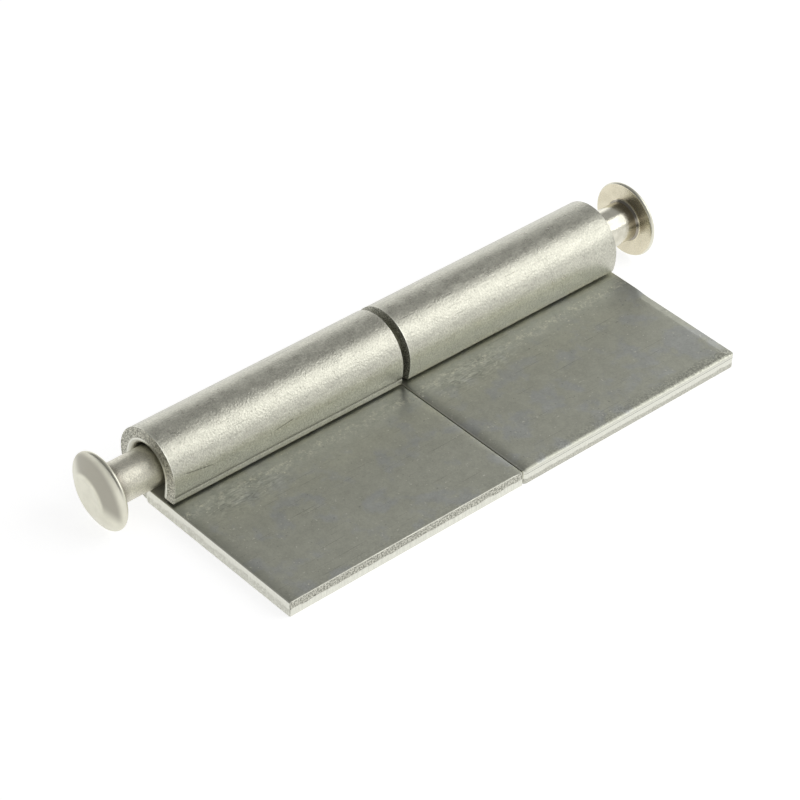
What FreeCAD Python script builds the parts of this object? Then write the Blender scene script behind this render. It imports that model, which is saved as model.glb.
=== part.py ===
"""Weld-on flag hinge: two rolled sheet-steel leaves side by side on one loose double-headed pin.

Frame: X runs along the pin, the flags point towards -Y, +Z is up. The hinge lies on the
undersides of its flags, and the origin is the bottom centre of its overall box.
Each leaf is one strip of sheet. It runs flat under the pin, rolls up behind it, over the top
and down in front, and its free edge stops just above the flag. All sizes are millimetres.
"""
import FreeCAD, Part
import math
import os

from FreeCAD import Vector

# Sheet and leaves
SHEET = 3.2                 # thickness of the strip both leaves are rolled from
LEAF_LENGTH = 55.0          # one flag along the pin
FLAG_REACH = 40.0           # pin axis to the flag's front edge
FLAG_GAP = 0.2              # hairline between the two flags
CURL_GAP = 0.8              # slit between the rolled free edge and the flag
ROLLOVER = 0.6              # rounding a shear leaves on the upper edges of the blank
BURR_BREAK = 0.15           # light break on the lower, burred edges at the knuckle ends
FREE_EDGE_ROUND = 0.5       # rounding on the outer corner of the rolled free edge

# How far each knuckle end stands back from its flag's end; a negative value stands proud
LEFT_SETBACK_OUTER = 0.4
LEFT_SETBACK_INNER = 0.4
RIGHT_SETBACK_INNER = 0.9
RIGHT_SETBACK_OUTER = -0.2

# Pin
PIN_DIAMETER = 8.0
PIN_PLAY = 1.1              # bore diameter over the pin, a loose fit that shows as a dark gap
PIN_STUB = 9.5              # bare shank between a flag's outer end and the head's underside
HEAD_DIAMETER = 15.5
HEAD_RIM = 1.0              # thickness of the head at its rounded rim
DOME_HEIGHT = 2.7           # crown above the middle of the rim, before it is flattened
CROWN_FLAT_DEPTH = 0.5      # how much the forming tool flattened the crown
CROWN_TILT = 6.0            # degrees by which that flat leans down and to the back
COLLAR_STEP = 0.5           # raised collar round the shank under the head: radius over the shank
COLLAR_HEIGHT = 0.2
COLLAR_CONE = 0.35          # 45 degree cone from the shank up to the collar's face

# Sizes that follow from those above
BORE_RADIUS = (PIN_DIAMETER + PIN_PLAY) / 2
KNUCKLE_RADIUS = BORE_RADIUS + SHEET
HALF_WIDTH = FLAG_GAP / 2 + LEAF_LENGTH
AXIS_Z = max(KNUCKLE_RADIUS, HEAD_DIAMETER / 2)
AXIS_Y = (FLAG_REACH - AXIS_Z) / 2
EPS = 1e-6


def on_circle(x, radius, degrees):
    """Point at an angle on a circle about the pin axis, 0 towards +Y and 90 upwards."""
    angle = math.radians(degrees)
    return Vector(x, radius * math.cos(angle), radius * math.sin(angle))


def edge_middle(edge):
    """Point halfway along an edge."""
    return edge.valueAt((edge.FirstParameter + edge.LastParameter) / 2)


def curl_section(x):
    """Section of the rolled part of the strip, from under the pin round to its free edge."""
    free_z = -BORE_RADIUS + CURL_GAP
    front = -KNUCKLE_RADIUS
    corner = FREE_EDGE_ROUND
    start_out = on_circle(x, KNUCKLE_RADIUS, -90)
    start_in = on_circle(x, BORE_RADIUS, -90)
    front_out = on_circle(x, KNUCKLE_RADIUS, 180)
    front_in = on_circle(x, BORE_RADIUS, 180)
    wall_foot = Vector(x, front, free_z + corner)
    corner_centre = Vector(x, front + corner, free_z + corner)
    corner_middle = corner_centre + on_circle(0, corner, 225)
    free_out = Vector(x, front + corner, free_z)
    free_in = Vector(x, -BORE_RADIUS, free_z)
    return Part.Face(Part.Wire([
        Part.Arc(start_out, on_circle(x, KNUCKLE_RADIUS, 45), front_out).toShape(),
        Part.makeLine(front_out, wall_foot),
        Part.Arc(wall_foot, corner_middle, free_out).toShape(),
        Part.makeLine(free_out, free_in),
        Part.makeLine(free_in, front_in),
        Part.Arc(front_in, on_circle(x, BORE_RADIUS, 45), start_in).toShape(),
        Part.makeLine(start_in, start_out),
    ]))


def end_edges(curl, x_ends, radius):
    """Edges of the knuckle's end faces that follow the wall at this distance from the axis."""
    found = []
    for edge in curl.Edges:
        in_end = any(all(abs(v.X - x) < EPS for v in edge.Vertexes) for x in x_ends)
        middle = edge_middle(edge)
        on_arc = abs(math.hypot(middle.y, middle.z) - radius) < EPS
        on_wall = abs(middle.y + radius) < EPS
        if in_end and (on_arc or on_wall):
            found.append(edge)
    return found


def rolled_knuckle(x_start, x_end):
    """Rolled part of a leaf between two ends, with its sheared end edges rounded."""
    curl = curl_section(x_start).extrude(Vector(x_end - x_start, 0, 0))
    ends = (x_start, x_end)
    curl = curl.makeFillet(ROLLOVER, end_edges(curl, ends, BORE_RADIUS))
    return curl.makeChamfer(BURR_BREAK, end_edges(curl, ends, KNUCKLE_RADIUS))


def flat_flag(x_start):
    """Flat part of a leaf from its front edge to under the pin, upper edges rolled over."""
    corner = Vector(x_start, -FLAG_REACH, -KNUCKLE_RADIUS)
    plate = Part.makeBox(LEAF_LENGTH, FLAG_REACH, SHEET, corner)
    top = -BORE_RADIUS
    rounded = []
    for edge in plate.Edges:
        on_top = all(abs(v.Z - top) < EPS for v in edge.Vertexes)
        under_pin = all(abs(v.Y) < EPS for v in edge.Vertexes)
        if on_top and not under_pin:
            rounded.append(edge)
    return plate.makeFillet(ROLLOVER, rounded)


def leaf(x_start, setback_low, setback_high):
    """One leaf: flag and knuckle as a single piece of sheet."""
    knuckle = rolled_knuckle(x_start + setback_low, x_start + LEAF_LENGTH - setback_high)
    return flat_flag(x_start).fuse(knuckle).removeSplitter().Solids[0]


def half_pin_profile():
    """Outline of the right half of the pin in the XZ plane, from mid-length to the crown."""
    shank = PIN_DIAMETER / 2
    head = HEAD_DIAMETER / 2
    collar = shank + COLLAR_STEP
    rim_round = HEAD_RIM / 2
    underside = HALF_WIDTH + PIN_STUB
    collar_face = underside - COLLAR_HEIGHT
    rim_x = underside + rim_round
    crown = rim_x + DOME_HEIGHT
    rim_z = head - rim_round
    # The dome's arc touches the rim's round from inside, so the two run into each other
    dome_radius = ((DOME_HEIGHT ** 2 + rim_z ** 2 - rim_round ** 2)
                   / (2 * (DOME_HEIGHT - rim_round)))
    dome_x = crown - dome_radius
    foot_angle = math.atan2(rim_z, rim_x - dome_x)
    cone_x = collar_face - COLLAR_CONE
    cone_z = shank + COLLAR_CONE
    rim_middle_angle = (math.pi + foot_angle) / 2

    def on_arc(x, z, radius, angle):
        return Vector(x + radius * math.cos(angle), 0, z + radius * math.sin(angle))

    dome_foot = on_arc(dome_x, 0, dome_radius, foot_angle)
    dome_middle = on_arc(dome_x, 0, dome_radius, foot_angle / 2)
    rim_middle = on_arc(rim_x, rim_z, rim_round, rim_middle_angle)

    def at(x, z):
        return Vector(x, 0, z)

    return Part.Face(Part.Wire([
        Part.makeLine(at(0, 0), at(0, shank)),
        Part.makeLine(at(0, shank), at(cone_x, shank)),
        Part.makeLine(at(cone_x, shank), at(collar_face, cone_z)),
        Part.makeLine(at(collar_face, cone_z), at(collar_face, collar)),
        Part.makeLine(at(collar_face, collar), at(underside, collar)),
        Part.makeLine(at(underside, collar), at(underside, rim_z)),
        Part.Arc(at(underside, rim_z), rim_middle, dome_foot).toShape(),
        Part.Arc(dome_foot, dome_middle, at(crown, 0)).toShape(),
        Part.makeLine(at(crown, 0), at(0, 0)),
    ]))


def crown_cutter():
    """Block beyond the flattened crown of the right head, leaning with the flat."""
    crown = HALF_WIDTH + PIN_STUB + HEAD_RIM / 2 + DOME_HEIGHT
    size = 2 * HEAD_DIAMETER
    block = Part.makeBox(size, size, size, Vector(0, -size / 2, -size / 2))
    lean_axis = Vector(0, 1, 1)
    block.rotate(Vector(0, 0, 0), lean_axis, CROWN_TILT)
    block.translate(Vector(crown - CROWN_FLAT_DEPTH, 0, 0))
    return block


def headed_pin():
    """The loose pin: a plain shank with a flattened mushroom head formed on both ends."""
    half = half_pin_profile().revolve(Vector(0, 0, 0), Vector(1, 0, 0), 360)
    half = half.cut(crown_cutter())
    other = half.mirror(Vector(0, 0, 0), Vector(1, 0, 0))
    return half.fuse(other).removeSplitter().Solids[0]


def export(node, solid):
    """Move a piece from the pin's frame to the part's frame and write its file."""
    placed = solid.copy()
    placed.translate(Vector(0, AXIS_Y, AXIS_Z))
    placed.exportStep(f"parts/{node}.step")
    box = placed.BoundBox
    print(f"{node}: valid {placed.isValid()}, {placed.Volume:.0f} mm3, "
          f"X {box.XMin:.2f} to {box.XMax:.2f}, Y {box.YMin:.2f} to {box.YMax:.2f}, "
          f"Z {box.ZMin:.2f} to {box.ZMax:.2f}")


os.makedirs("parts", exist_ok=True)
export("left_leaf", leaf(-HALF_WIDTH, LEFT_SETBACK_OUTER, LEFT_SETBACK_INNER))
export("right_leaf", leaf(FLAG_GAP / 2, RIGHT_SETBACK_INNER, RIGHT_SETBACK_OUTER))
export("pin", headed_pin())
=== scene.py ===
"""Looks of a weld-on flag hinge: two rolled sheet-steel leaves on one loose double-headed pin.

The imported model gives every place. Each leaf is made again as the strip that it really is: a
sheared blank with rolled-over, burnished and torn edges, flat as the flag and then rolled round
the pin. The pin is turned from its profile and its crowns are pressed flat. Lengths in the
classes are millimetres, and a finished mesh is in metres. One pixel of the picture covers about
0.2 mm of the hinge, so a grain that is finer in the real thing is drawn at 0.13 mm or more.
"""

import logging
import math
from dataclasses import dataclass, field
from enum import Enum

import bmesh
import bpy
from mathutils import Matrix, Vector, noise


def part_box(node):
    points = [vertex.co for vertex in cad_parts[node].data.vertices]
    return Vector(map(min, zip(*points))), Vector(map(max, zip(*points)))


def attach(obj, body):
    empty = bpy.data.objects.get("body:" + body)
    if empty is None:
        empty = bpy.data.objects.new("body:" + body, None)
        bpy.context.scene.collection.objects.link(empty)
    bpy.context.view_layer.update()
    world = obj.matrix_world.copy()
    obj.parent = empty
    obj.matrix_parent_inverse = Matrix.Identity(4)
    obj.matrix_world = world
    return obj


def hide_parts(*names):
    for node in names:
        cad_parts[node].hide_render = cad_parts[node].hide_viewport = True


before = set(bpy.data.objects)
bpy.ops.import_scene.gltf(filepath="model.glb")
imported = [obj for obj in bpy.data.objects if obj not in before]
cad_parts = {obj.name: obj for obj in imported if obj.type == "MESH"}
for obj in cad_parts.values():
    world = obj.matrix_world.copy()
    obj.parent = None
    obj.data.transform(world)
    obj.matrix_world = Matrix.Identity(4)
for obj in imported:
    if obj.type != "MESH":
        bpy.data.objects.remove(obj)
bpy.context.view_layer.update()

Tree = bpy.types.NodeTree
Socket = bpy.types.NodeSocket
Pair = tuple[float, float]

LOG = logging.getLogger("flag_hinge")
MM = 0.001

# Names of the attributes that the meshes carry and the materials read
BLANK = "blank"
TORN = "torn"
CUT_MAP = "cut"
SEAM = "seam"
# Painted shade on the pin by the heads, and a painted reflection round the domes' flats
SHOULDER = "shoulder"
GROOVE = "groove"

# Distance in mm between the blanks of two leaves in the coordinates of their pattern
BLANK_PITCH = 60.0

# How far a burr, its blunt tip and the standing back of a torn cut reach into the faces, in mm
BURR_REACH = 0.4
BURR_TIP = 0.06
RECESS_REACH = 1.2
# How far a burr's blunt tip is pulled in, as a share of the burr's height
TIP_DROP = 0.8
# Share of the rounding that is gone past a bevel's end, and half the length over which it goes
BEVEL_LOSS = 0.8
BEVEL_FADE = 1.5
# Share of the thickness over which a burnished cut turns into a torn one
TEAR_ONSET = 0.12
# Share of the burnished band that bending tears open
BEND_TEAR = 0.75
# The burnished band's lower limit: height of its waves as a share of the sheet, length in mm
WAVE_HEIGHT = 0.10
WAVE_LENGTH = 2.5
# A torn cut's bumps per mm along the cut and per thickness, and the step between two cuts
BUMPS_ALONG = 1.6
BUMPS_DEEP = 7.0
CUT_STEP = 7.3

# Steps of the blank's grid in mm: at an edge, how far in that goes, and away from the edges
EDGE_STEP = 0.12
EDGE_REACH = 1.8
ACROSS_STEP = 0.7
ALONG_STEP = 0.6
WALL_STEP = 0.15
# Length in mm before the bend that two even steps take up, and divisions of the bend
JOIN_REACH = 1.0
ARC_STEPS = 100
# Length over which a flag turns into a roll, as far as its sheared ends go, in mm
BEND_ONSET = 3.0
# Where the knuckle's setback begins before the bend, and over what length it comes, in mm
SETBACK_START = 0.3
SETBACK_RUN = 0.6
# The pressed line's width above and below its bottom, in mm, and its depth in the sheet
GROOVE_ABOVE = 0.45
GROOVE_BELOW = 0.18
GROOVE_SHARE = 0.3

# Divisions of the pin's profile, and the length in mm of the fine ones beside a head
SHANK_STEPS = 24
ROOT_STEPS = 6
ROOT_REACH = 3.6
UNDERSIDE_STEPS = 6
RIM_STEPS = 14
DOME_STEPS = 44

# How near in mm two points of the pin are one, after mirroring and after spinning
MIRROR_MERGE = 1e-5
SPIN_MERGE = 1e-4

# Two faces that meet at more than this many degrees have a sharp edge between them
SHARP_ANGLE = 38
# Two lengths closer than this are the same
TINY = 1e-6
# Values between which most of a noise lies
NOISE_LOW = 0.3
NOISE_HIGH = 0.7


class Face(Enum):
    """A face of the sheet, named as the flag lies."""

    UPPER = 1
    LOWER = 0


class Slot(Enum):
    """Material slots of a leaf."""

    MILL = 0
    SHEARED = 1


class PinSlot(Enum):
    """Material slots of the pin."""

    SHANK = 0
    DOME = 1
    UNDERSIDE = 2


def to_linear(colour: str) -> tuple[float, float, float, float]:
    """Turn an sRGB hex colour into the linear colour that a shader takes.

    Args:
        colour: Six hex digits after a hash sign.

    Returns:
        Red, green, blue and alpha, linear.
    """
    channels = [int(colour[k:k + 2], 16) / 255 for k in (1, 3, 5)]
    linear = [c / 12.92 if c <= 0.04045 else ((c + 0.055) / 1.055) ** 2.4 for c in channels]
    return (*linear, 1.0)


def smooth_step(value: float, low: float, high: float) -> float:
    """Rise smoothly from 0 at one value to 1 at another."""
    share = min(1.0, max(0.0, (value - low) / (high - low)))
    return share * share * (3.0 - 2.0 * share)


def per_mm(size: float) -> float:
    """Scale of a pattern in metre coordinates whose features are this many millimetres wide."""
    return 1.0 / (size * MM)


def add_node(
    tree: Tree,
    kind: str,
    inputs: dict[str | int, object] | None = None,
    **settings: object,
) -> bpy.types.Node:
    """Add one shader node.

    Args:
        tree: The node tree it goes into.
        kind: The node's type name.
        inputs: A value, or an output socket to link, for each named or numbered input.
        **settings: The node's own properties.

    Returns:
        The new node.
    """
    node = tree.nodes.new(kind)
    for name, value in settings.items():
        setattr(node, name, value)
    for key, value in (inputs or {}).items():
        if isinstance(value, Socket):
            tree.links.new(value, node.inputs[key])
        else:
            node.inputs[key].default_value = value
    return node


def new_material(name: str) -> tuple[bpy.types.Material, Tree]:
    """Make an empty node material.

    Args:
        name: The material's name.

    Returns:
        The material and its node tree.
    """
    material = bpy.data.materials.new(name)
    material.use_nodes = True
    material.node_tree.nodes.clear()
    return material, material.node_tree


def close_metal(tree: Tree, colour: Socket, rough: Socket, height: Socket) -> None:
    """End a metal's graph with its surface.

    Args:
        tree: The material's node tree.
        colour: Colour of what the metal reflects.
        rough: Its roughness.
        height: Its relief, in metres.
    """
    bump = add_node(tree, "ShaderNodeBump", {
        "Strength": 1.0, "Distance": 1.0, "Height": height,
    }).outputs["Normal"]
    shader = add_node(tree, "ShaderNodeBsdfPrincipled", {
        "Base Color": colour, "Metallic": 1.0, "Roughness": rough, "Normal": bump,
    })
    add_node(tree, "ShaderNodeOutputMaterial", {"Surface": shader.outputs["BSDF"]})


@dataclass(frozen=True)
class StripPlace:
    """Sockets of one material that say where on the flat blank a point is, in metres.

    Attributes:
        blank: The place as a vector.
        x: Place along the pin, where the second strip follows the first.
        y: Length along the strip from the flag's front edge.
        z: Height over the lower face, which is the outside of the roll.
        across: Distance from the strip's own low end.
        bend: 0 on the flag and 1 on the roll.
        in_slit: 0 on the open flag, 1 from inside the slit onwards.
    """

    blank: Socket
    x: Socket
    y: Socket
    z: Socket
    across: Socket
    bend: Socket
    in_slit: Socket


@dataclass(frozen=True)
class Score:
    """One fine line scored into the roll. Sizes in mm.

    Attributes:
        middle: The line's middle along the pin and along the strip.
        half_length: Half its length.
        slant: Degrees that it leans.
        width: Half its width, with its soft sides.
        core: Shares of its half length and of its width that are at full depth.
        deepest: Factor for the colour there.
    """

    middle: Pair
    half_length: float
    slant: float
    width: float = 0.15
    core: Pair = (0.5, 0.3)
    deepest: float = 0.50

    def shade(self, tree: Tree, at: StripPlace) -> Socket:
        """Draw the line.

        Args:
            tree: The material's node tree.
            at: Place on the blank.

        Returns:
            A factor for the colour, 1 away from the line.
        """
        aside = add_node(tree, "ShaderNodeMath", {
            0: at.x, 1: self.middle[0] * MM,
        }, operation="SUBTRACT").outputs["Value"]
        fall = add_node(tree, "ShaderNodeMath", {
            0: aside, 1: -math.tan(math.radians(self.slant)), 2: at.y,
        }, operation="MULTIPLY_ADD").outputs["Value"]
        off = add_node(tree, "ShaderNodeMath", {
            0: fall, 1: self.middle[1] * MM,
        }, operation="SUBTRACT").outputs["Value"]
        far, off = (
            add_node(tree, "ShaderNodeMath", {0: signed}, operation="ABSOLUTE").outputs["Value"]
            for signed in (aside, off)
        )
        deepest = add_node(tree, "ShaderNodeMapRange", {
            "Value": far,
            "From Min": self.core[0] * self.half_length * MM,
            "From Max": self.half_length * MM,
            "To Min": self.deepest,
            "To Max": 1.0,
        }, interpolation_type="SMOOTHSTEP").outputs["Result"]
        return add_node(tree, "ShaderNodeMapRange", {
            "Value": off,
            "From Min": self.core[1] * self.width * MM,
            "From Max": self.width * MM,
            "To Min": deepest,
            "To Max": 1.0,
        }, interpolation_type="SMOOTHSTEP").outputs["Result"]


@dataclass(frozen=True)
class MillSteel:
    """Hot-rolled, pickled mild-steel sheet as it comes from the mill.

    The eye sees a dull olive grey that drifts to blue grey in soft patches, a fine satin grain
    along the rolling direction, and a coarser sparkle where the bend has stretched the skin.
    Sizes are in mm. A place along the strip is counted from the flag's front edge, and a pair
    of them is where a change starts and ends. An edge pair is the same for a noise's value.

    Attributes:
        name: The material's name.
        olive: Colour of the flag.
        blue: Colour of its patches.
        clamped: Colour of a bluer band in front of the roll, darker as painted shade by its foot.
        stretched: Colour of the roll.
        scuffed: Colour of flecks, rubbed spots and the painted highlights.
        sheltered: Lighter colour from inside the slit on, painted light in the slit's shade.
        patch: Size of the blue patches.
        patch_edges: Their edge pair.
        cloud: Size of the soft clouds.
        grain: Pickled grain, drawn coarser than the real one so that it shows.
        peel: Relief of the stretched skin, an orange peel.
        fleck: Size of bright flecks and dark pits.
        fleck_edges: The flecks' edge pair.
        fleck_most: How much of the scuffed colour a fleck has.
        pit_edges: The pits' edge pair.
        pit_shade: Factor for the colour in a pit.
        scratch_size: A scratch's length, width and depth of pattern.
        scratch_edges: The scratches' edge pair.
        scratch_shade: Colour that a scratch takes away.
        bend: Where the flag turns into the roll.
        slit: Where the part inside the slit begins, with its painted light.
        shadow: Where the band of painted shade in front of the roll ends.
        clamp: Where it begins.
        clamp_most: How much of its colour it has.
        scuff_line: Middle of the band of rubbed spots and painted highlights in front of the roll.
        scuff_reach: Half its width.
        scuff_size: Size of its spots.
        scuff_edges: Their edge pair.
        smear_centre: Middle of the handling marks, from the low end and along the strip.
        smear_reach: Their half lengths.
        smear_core: Share of these that they fill evenly.
        smear_size: Length and width of one smear.
        smear_slant: Degrees that the smears lean.
        smear_contrast: Strength of the smears.
        drawn_reach: Width of the painted shade at the low end, and where its edge is.
        drawn_shade: Factor for the colour in that painted shade.
        wear_reach: Width of the painted highlight on the front and low edges, and where it is
            full.
        wear_most: How strong the painted highlight is.
        rim_reach: How far the broken-up skin reaches from the front edge, and where it is full.
        rim_grit: Size of its grains, drawn coarser than the real ones so that they show.
        rim_edges: Noise values of its darkest and its lightest grain.
        rim_span: Pattern pitches between which it grows, along the pin.
        rim_strength: Its strength at both ends of that span.
        rim_tone: What its darkest and lightest grains add to the colour.
        streak_size: Drawn streaks on the roll: length, width and depth of pattern.
        streak_slant: Degrees that they lean.
        streak_contrast: Their strength.
        groove_edges: Share of the pressed line's depth at which the darkening starts and is full.
        groove_shade: Factor for the colour there.
        scores: Lines scored into the roll.
        roughness: Roughness of the flag.
        bend_roughness: Roughness of the roll.
        slit_roughness: What the part inside the slit adds.
        cloud_roughness: What the clouds add.
        inner: Heights over the lower face between which the bore's skin begins.
        inner_roughness: What it adds.
        cloud_tone: Factors for the colour in the darkest and lightest clouds.
        peel_contrast: Sparkle on the flag and on the roll.
        grain_height: Height of the grain.
        peel_edges: Noise values of a smooth and of a coarse cloud of the roll.
        peel_height: Height of the peel in these.
        flag_peel: Height of the peel on the flag.
        scratch_depth: Depth of a scratch.
        fleck_depth: Depth of a fleck.
    """

    name: str = "pickled_steel_sheet"
    olive: str = "#C1C2B4"
    blue: str = "#BEC0BA"
    clamped: str = "#AEB1AC"
    stretched: str = "#C3C2B5"
    scuffed: str = "#DCDCD0"
    sheltered: str = "#DEDED4"
    patch: float = 5.5
    patch_edges: Pair = (0.50, 0.64)
    cloud: float = 2.2
    grain: float = 0.30
    peel: float = 0.42
    fleck: float = 0.60
    fleck_edges: Pair = (0.70, 0.78)
    fleck_most: float = 0.9
    pit_edges: Pair = (0.21, 0.28)
    pit_shade: float = 0.72
    scratch_size: tuple[float, float, float] = (14.0, 0.26, 4.0)
    scratch_edges: Pair = (0.66, 0.74)
    scratch_shade: float = 0.24
    bend: Pair = (38.0, 42.5)
    slit: Pair = (33.6, 35.6)
    shadow: Pair = (31.0, 33.0)
    clamp: Pair = (23.0, 29.5)
    clamp_most: float = 0.80
    scuff_line: float = 29.2
    scuff_reach: float = 2.6
    scuff_size: float = 0.9
    scuff_edges: Pair = (0.50, 0.66)
    smear_centre: Pair = (13.0, 27.8)
    smear_reach: Pair = (14.0, 5.0)
    smear_core: float = 0.35
    smear_size: Pair = (2.6, 0.85)
    smear_slant: float = 8.0
    smear_contrast: float = 1.7
    drawn_reach: Pair = (0.3, 3.2)
    drawn_shade: float = 0.75
    wear_reach: Pair = (0.10, 0.30)
    wear_most: float = 0.95
    rim_reach: Pair = (1.4, 3.4)
    rim_grit: float = 0.34
    rim_edges: Pair = (0.40, 0.60)
    rim_span: Pair = (1.95, 2.9)
    rim_strength: Pair = (0.30, 1.25)
    rim_tone: Pair = (-0.32, 0.14)
    streak_size: tuple[float, float, float] = (3.0, 1.2, 3.0)
    streak_slant: float = -4.0
    streak_contrast: float = 0.42
    groove_edges: Pair = (0.35, 0.95)
    groove_shade: float = 0.62
    scores: tuple[Score, ...] = (Score((65.9, 75.2), 4.2, 8.5), Score((85.9, 75.2), 2.9, -6.0))
    roughness: float = 0.40
    bend_roughness: float = 0.25
    slit_roughness: float = 0.25
    cloud_roughness: float = 0.06
    inner: Pair = (2.2, 2.8)
    inner_roughness: float = 0.22
    cloud_tone: Pair = (0.92, 1.08)
    peel_contrast: Pair = (0.36, 1.05)
    grain_height: float = 0.014
    peel_edges: Pair = (0.38, 0.62)
    peel_height: Pair = (0.030, 0.110)
    flag_peel: float = 0.010
    scratch_depth: float = 0.012
    fleck_depth: float = 0.020

    def build(self) -> bpy.types.Material:
        """Make the node material.

        Returns:
            The material, which reads the attributes of a leaf's mesh.
        """
        material, tree = new_material(self.name)
        at = self.places(tree)
        clouds, grain, peel = (
            add_node(tree, "ShaderNodeTexNoise", {
                "Vector": at.blank, "Scale": per_mm(size), "Detail": detail, "Roughness": fine,
            }).outputs["Fac"]
            for size, detail, fine in (
                (self.cloud, 6.0, 0.62), (self.grain, 2.0, 0.6), (self.peel, 3.0, 0.65),
            )
        )
        fleck_noise = add_node(tree, "ShaderNodeTexNoise", {
            "Vector": at.blank, "Scale": per_mm(self.fleck), "Detail": 1.0,
        }).outputs["Fac"]
        flecks = add_node(tree, "ShaderNodeMapRange", {
            "Value": fleck_noise,
            "From Min": self.fleck_edges[0],
            "From Max": self.fleck_edges[1],
        }, interpolation_type="SMOOTHSTEP").outputs["Result"]
        scratches = self.scratches(tree, at)

        gain = self.tone(tree, at, clouds, peel)
        for shade in (
            self.drawn_edge(tree, at),
            self.smears(tree, at),
            self.scratch_tone(tree, scratches),
            self.rim_speckle(tree, at),
            self.pits(tree, fleck_noise),
            self.drawn_streaks(tree, at),
            self.groove_dirt(tree),
            *(score.shade(tree, at) for score in self.scores),
        ):
            gain = add_node(tree, "ShaderNodeMath", {
                0: gain, 1: shade,
            }, operation="MULTIPLY").outputs["Value"]
        clouded = add_node(tree, "ShaderNodeVectorMath", {
            0: self.base_colour(tree, at), "Scale": gain,
        }, operation="SCALE").outputs["Vector"]
        # Bright flecks of the skin, and rubbed spots with painted highlight in front of the roll
        marks = add_node(tree, "ShaderNodeMath", {
            0: flecks, 1: self.fleck_most, 2: self.scuffs(tree, at),
        }, operation="MULTIPLY_ADD", use_clamp=True).outputs["Value"]
        # Painted highlight along the front and low edges
        marks = add_node(tree, "ShaderNodeMath", {
            0: marks, 1: self.edge_wear(tree, at),
        }, operation="MAXIMUM").outputs["Value"]
        colour = add_node(tree, "ShaderNodeMix", {
            "Factor": marks, 6: clouded, 7: to_linear(self.scuffed),
        }, data_type="RGBA").outputs[2]

        height = self.height(tree, at, clouds, grain, peel)
        for dent, depth in ((scratches, self.scratch_depth), (flecks, self.fleck_depth)):
            height = add_node(tree, "ShaderNodeMath", {
                0: dent, 1: -depth * MM, 2: height,
            }, operation="MULTIPLY_ADD").outputs["Value"]
        close_metal(tree, colour, self.rough(tree, at, clouds), height)
        return material

    def places(self, tree: Tree) -> StripPlace:
        """Read the place on the blank, and work out what follows from it.

        Args:
            tree: The material's node tree.

        Returns:
            The place.
        """
        blank = add_node(tree, "ShaderNodeAttribute", attribute_name=BLANK).outputs["Vector"]
        split = add_node(tree, "ShaderNodeSeparateXYZ", {"Vector": blank}).outputs
        across = add_node(tree, "ShaderNodeMath", {
            0: split["X"], 1: BLANK_PITCH * MM,
        }, operation="FLOORED_MODULO").outputs["Value"]
        bend, in_slit = (
            add_node(tree, "ShaderNodeMapRange", {
                "Value": split["Y"], "From Min": start * MM, "From Max": end * MM,
            }, interpolation_type="SMOOTHSTEP").outputs["Result"]
            for start, end in (self.bend, self.slit)
        )
        return StripPlace(blank, split["X"], split["Y"], split["Z"], across, bend, in_slit)

    def base_colour(self, tree: Tree, at: StripPlace) -> Socket:
        """Colour of the skin before clouds and marks, with painted shade and light near the roll.

        Args:
            tree: The material's node tree.
            at: Place on the blank.

        Returns:
            The colour.
        """
        patches = add_node(tree, "ShaderNodeTexNoise", {
            "Vector": at.blank, "Scale": per_mm(self.patch), "Detail": 4.0, "Roughness": 0.55,
        }).outputs["Fac"]
        patched = add_node(tree, "ShaderNodeMapRange", {
            "Value": patches, "From Min": self.patch_edges[0], "From Max": self.patch_edges[1],
        }, interpolation_type="SMOOTHSTEP").outputs["Result"]
        # Painted shade: a darker, bluer band in front of the roll, up to its foot
        clamped = add_node(tree, "ShaderNodeMapRange", {
            "Value": at.y, "From Min": self.clamp[0] * MM, "From Max": self.clamp[1] * MM,
            "To Max": self.clamp_most,
        }, interpolation_type="SMOOTHSTEP").outputs["Result"]
        before_slit = add_node(tree, "ShaderNodeMapRange", {
            "Value": at.y, "From Min": self.shadow[0] * MM, "From Max": self.shadow[1] * MM,
            "To Min": 1.0, "To Max": 0.0,
        }, interpolation_type="SMOOTHSTEP").outputs["Result"]
        clamped = add_node(tree, "ShaderNodeMath", {
            0: clamped, 1: before_slit,
        }, operation="MULTIPLY").outputs["Value"]
        colour = to_linear(self.olive)
        for share, other in (
            (patched, self.blue),
            (clamped, self.clamped),
            # Painted light: the part inside the slit is made lighter against the slit's shade
            (at.in_slit, self.sheltered),
            (at.bend, self.stretched),
        ):
            colour = add_node(tree, "ShaderNodeMix", {
                "Factor": share, 6: colour, 7: to_linear(other),
            }, data_type="RGBA").outputs[2]
        return colour

    def scratches(self, tree: Tree, at: StripPlace) -> Socket:
        """Sparse fine scratches along the pin, which is the rolling direction.

        Args:
            tree: The material's node tree.
            at: Place on the blank.

        Returns:
            A factor, 1 in a scratch.
        """
        along = add_node(tree, "ShaderNodeMapping", {
            "Vector": at.blank, "Scale": tuple(per_mm(size) for size in self.scratch_size),
        }).outputs["Vector"]
        drawn = add_node(tree, "ShaderNodeTexNoise", {
            "Vector": along, "Scale": 1.0, "Detail": 2.0, "Roughness": 0.5,
        }).outputs["Fac"]
        return add_node(tree, "ShaderNodeMapRange", {
            "Value": drawn,
            "From Min": self.scratch_edges[0],
            "From Max": self.scratch_edges[1],
        }, interpolation_type="SMOOTHSTEP").outputs["Result"]

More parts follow.
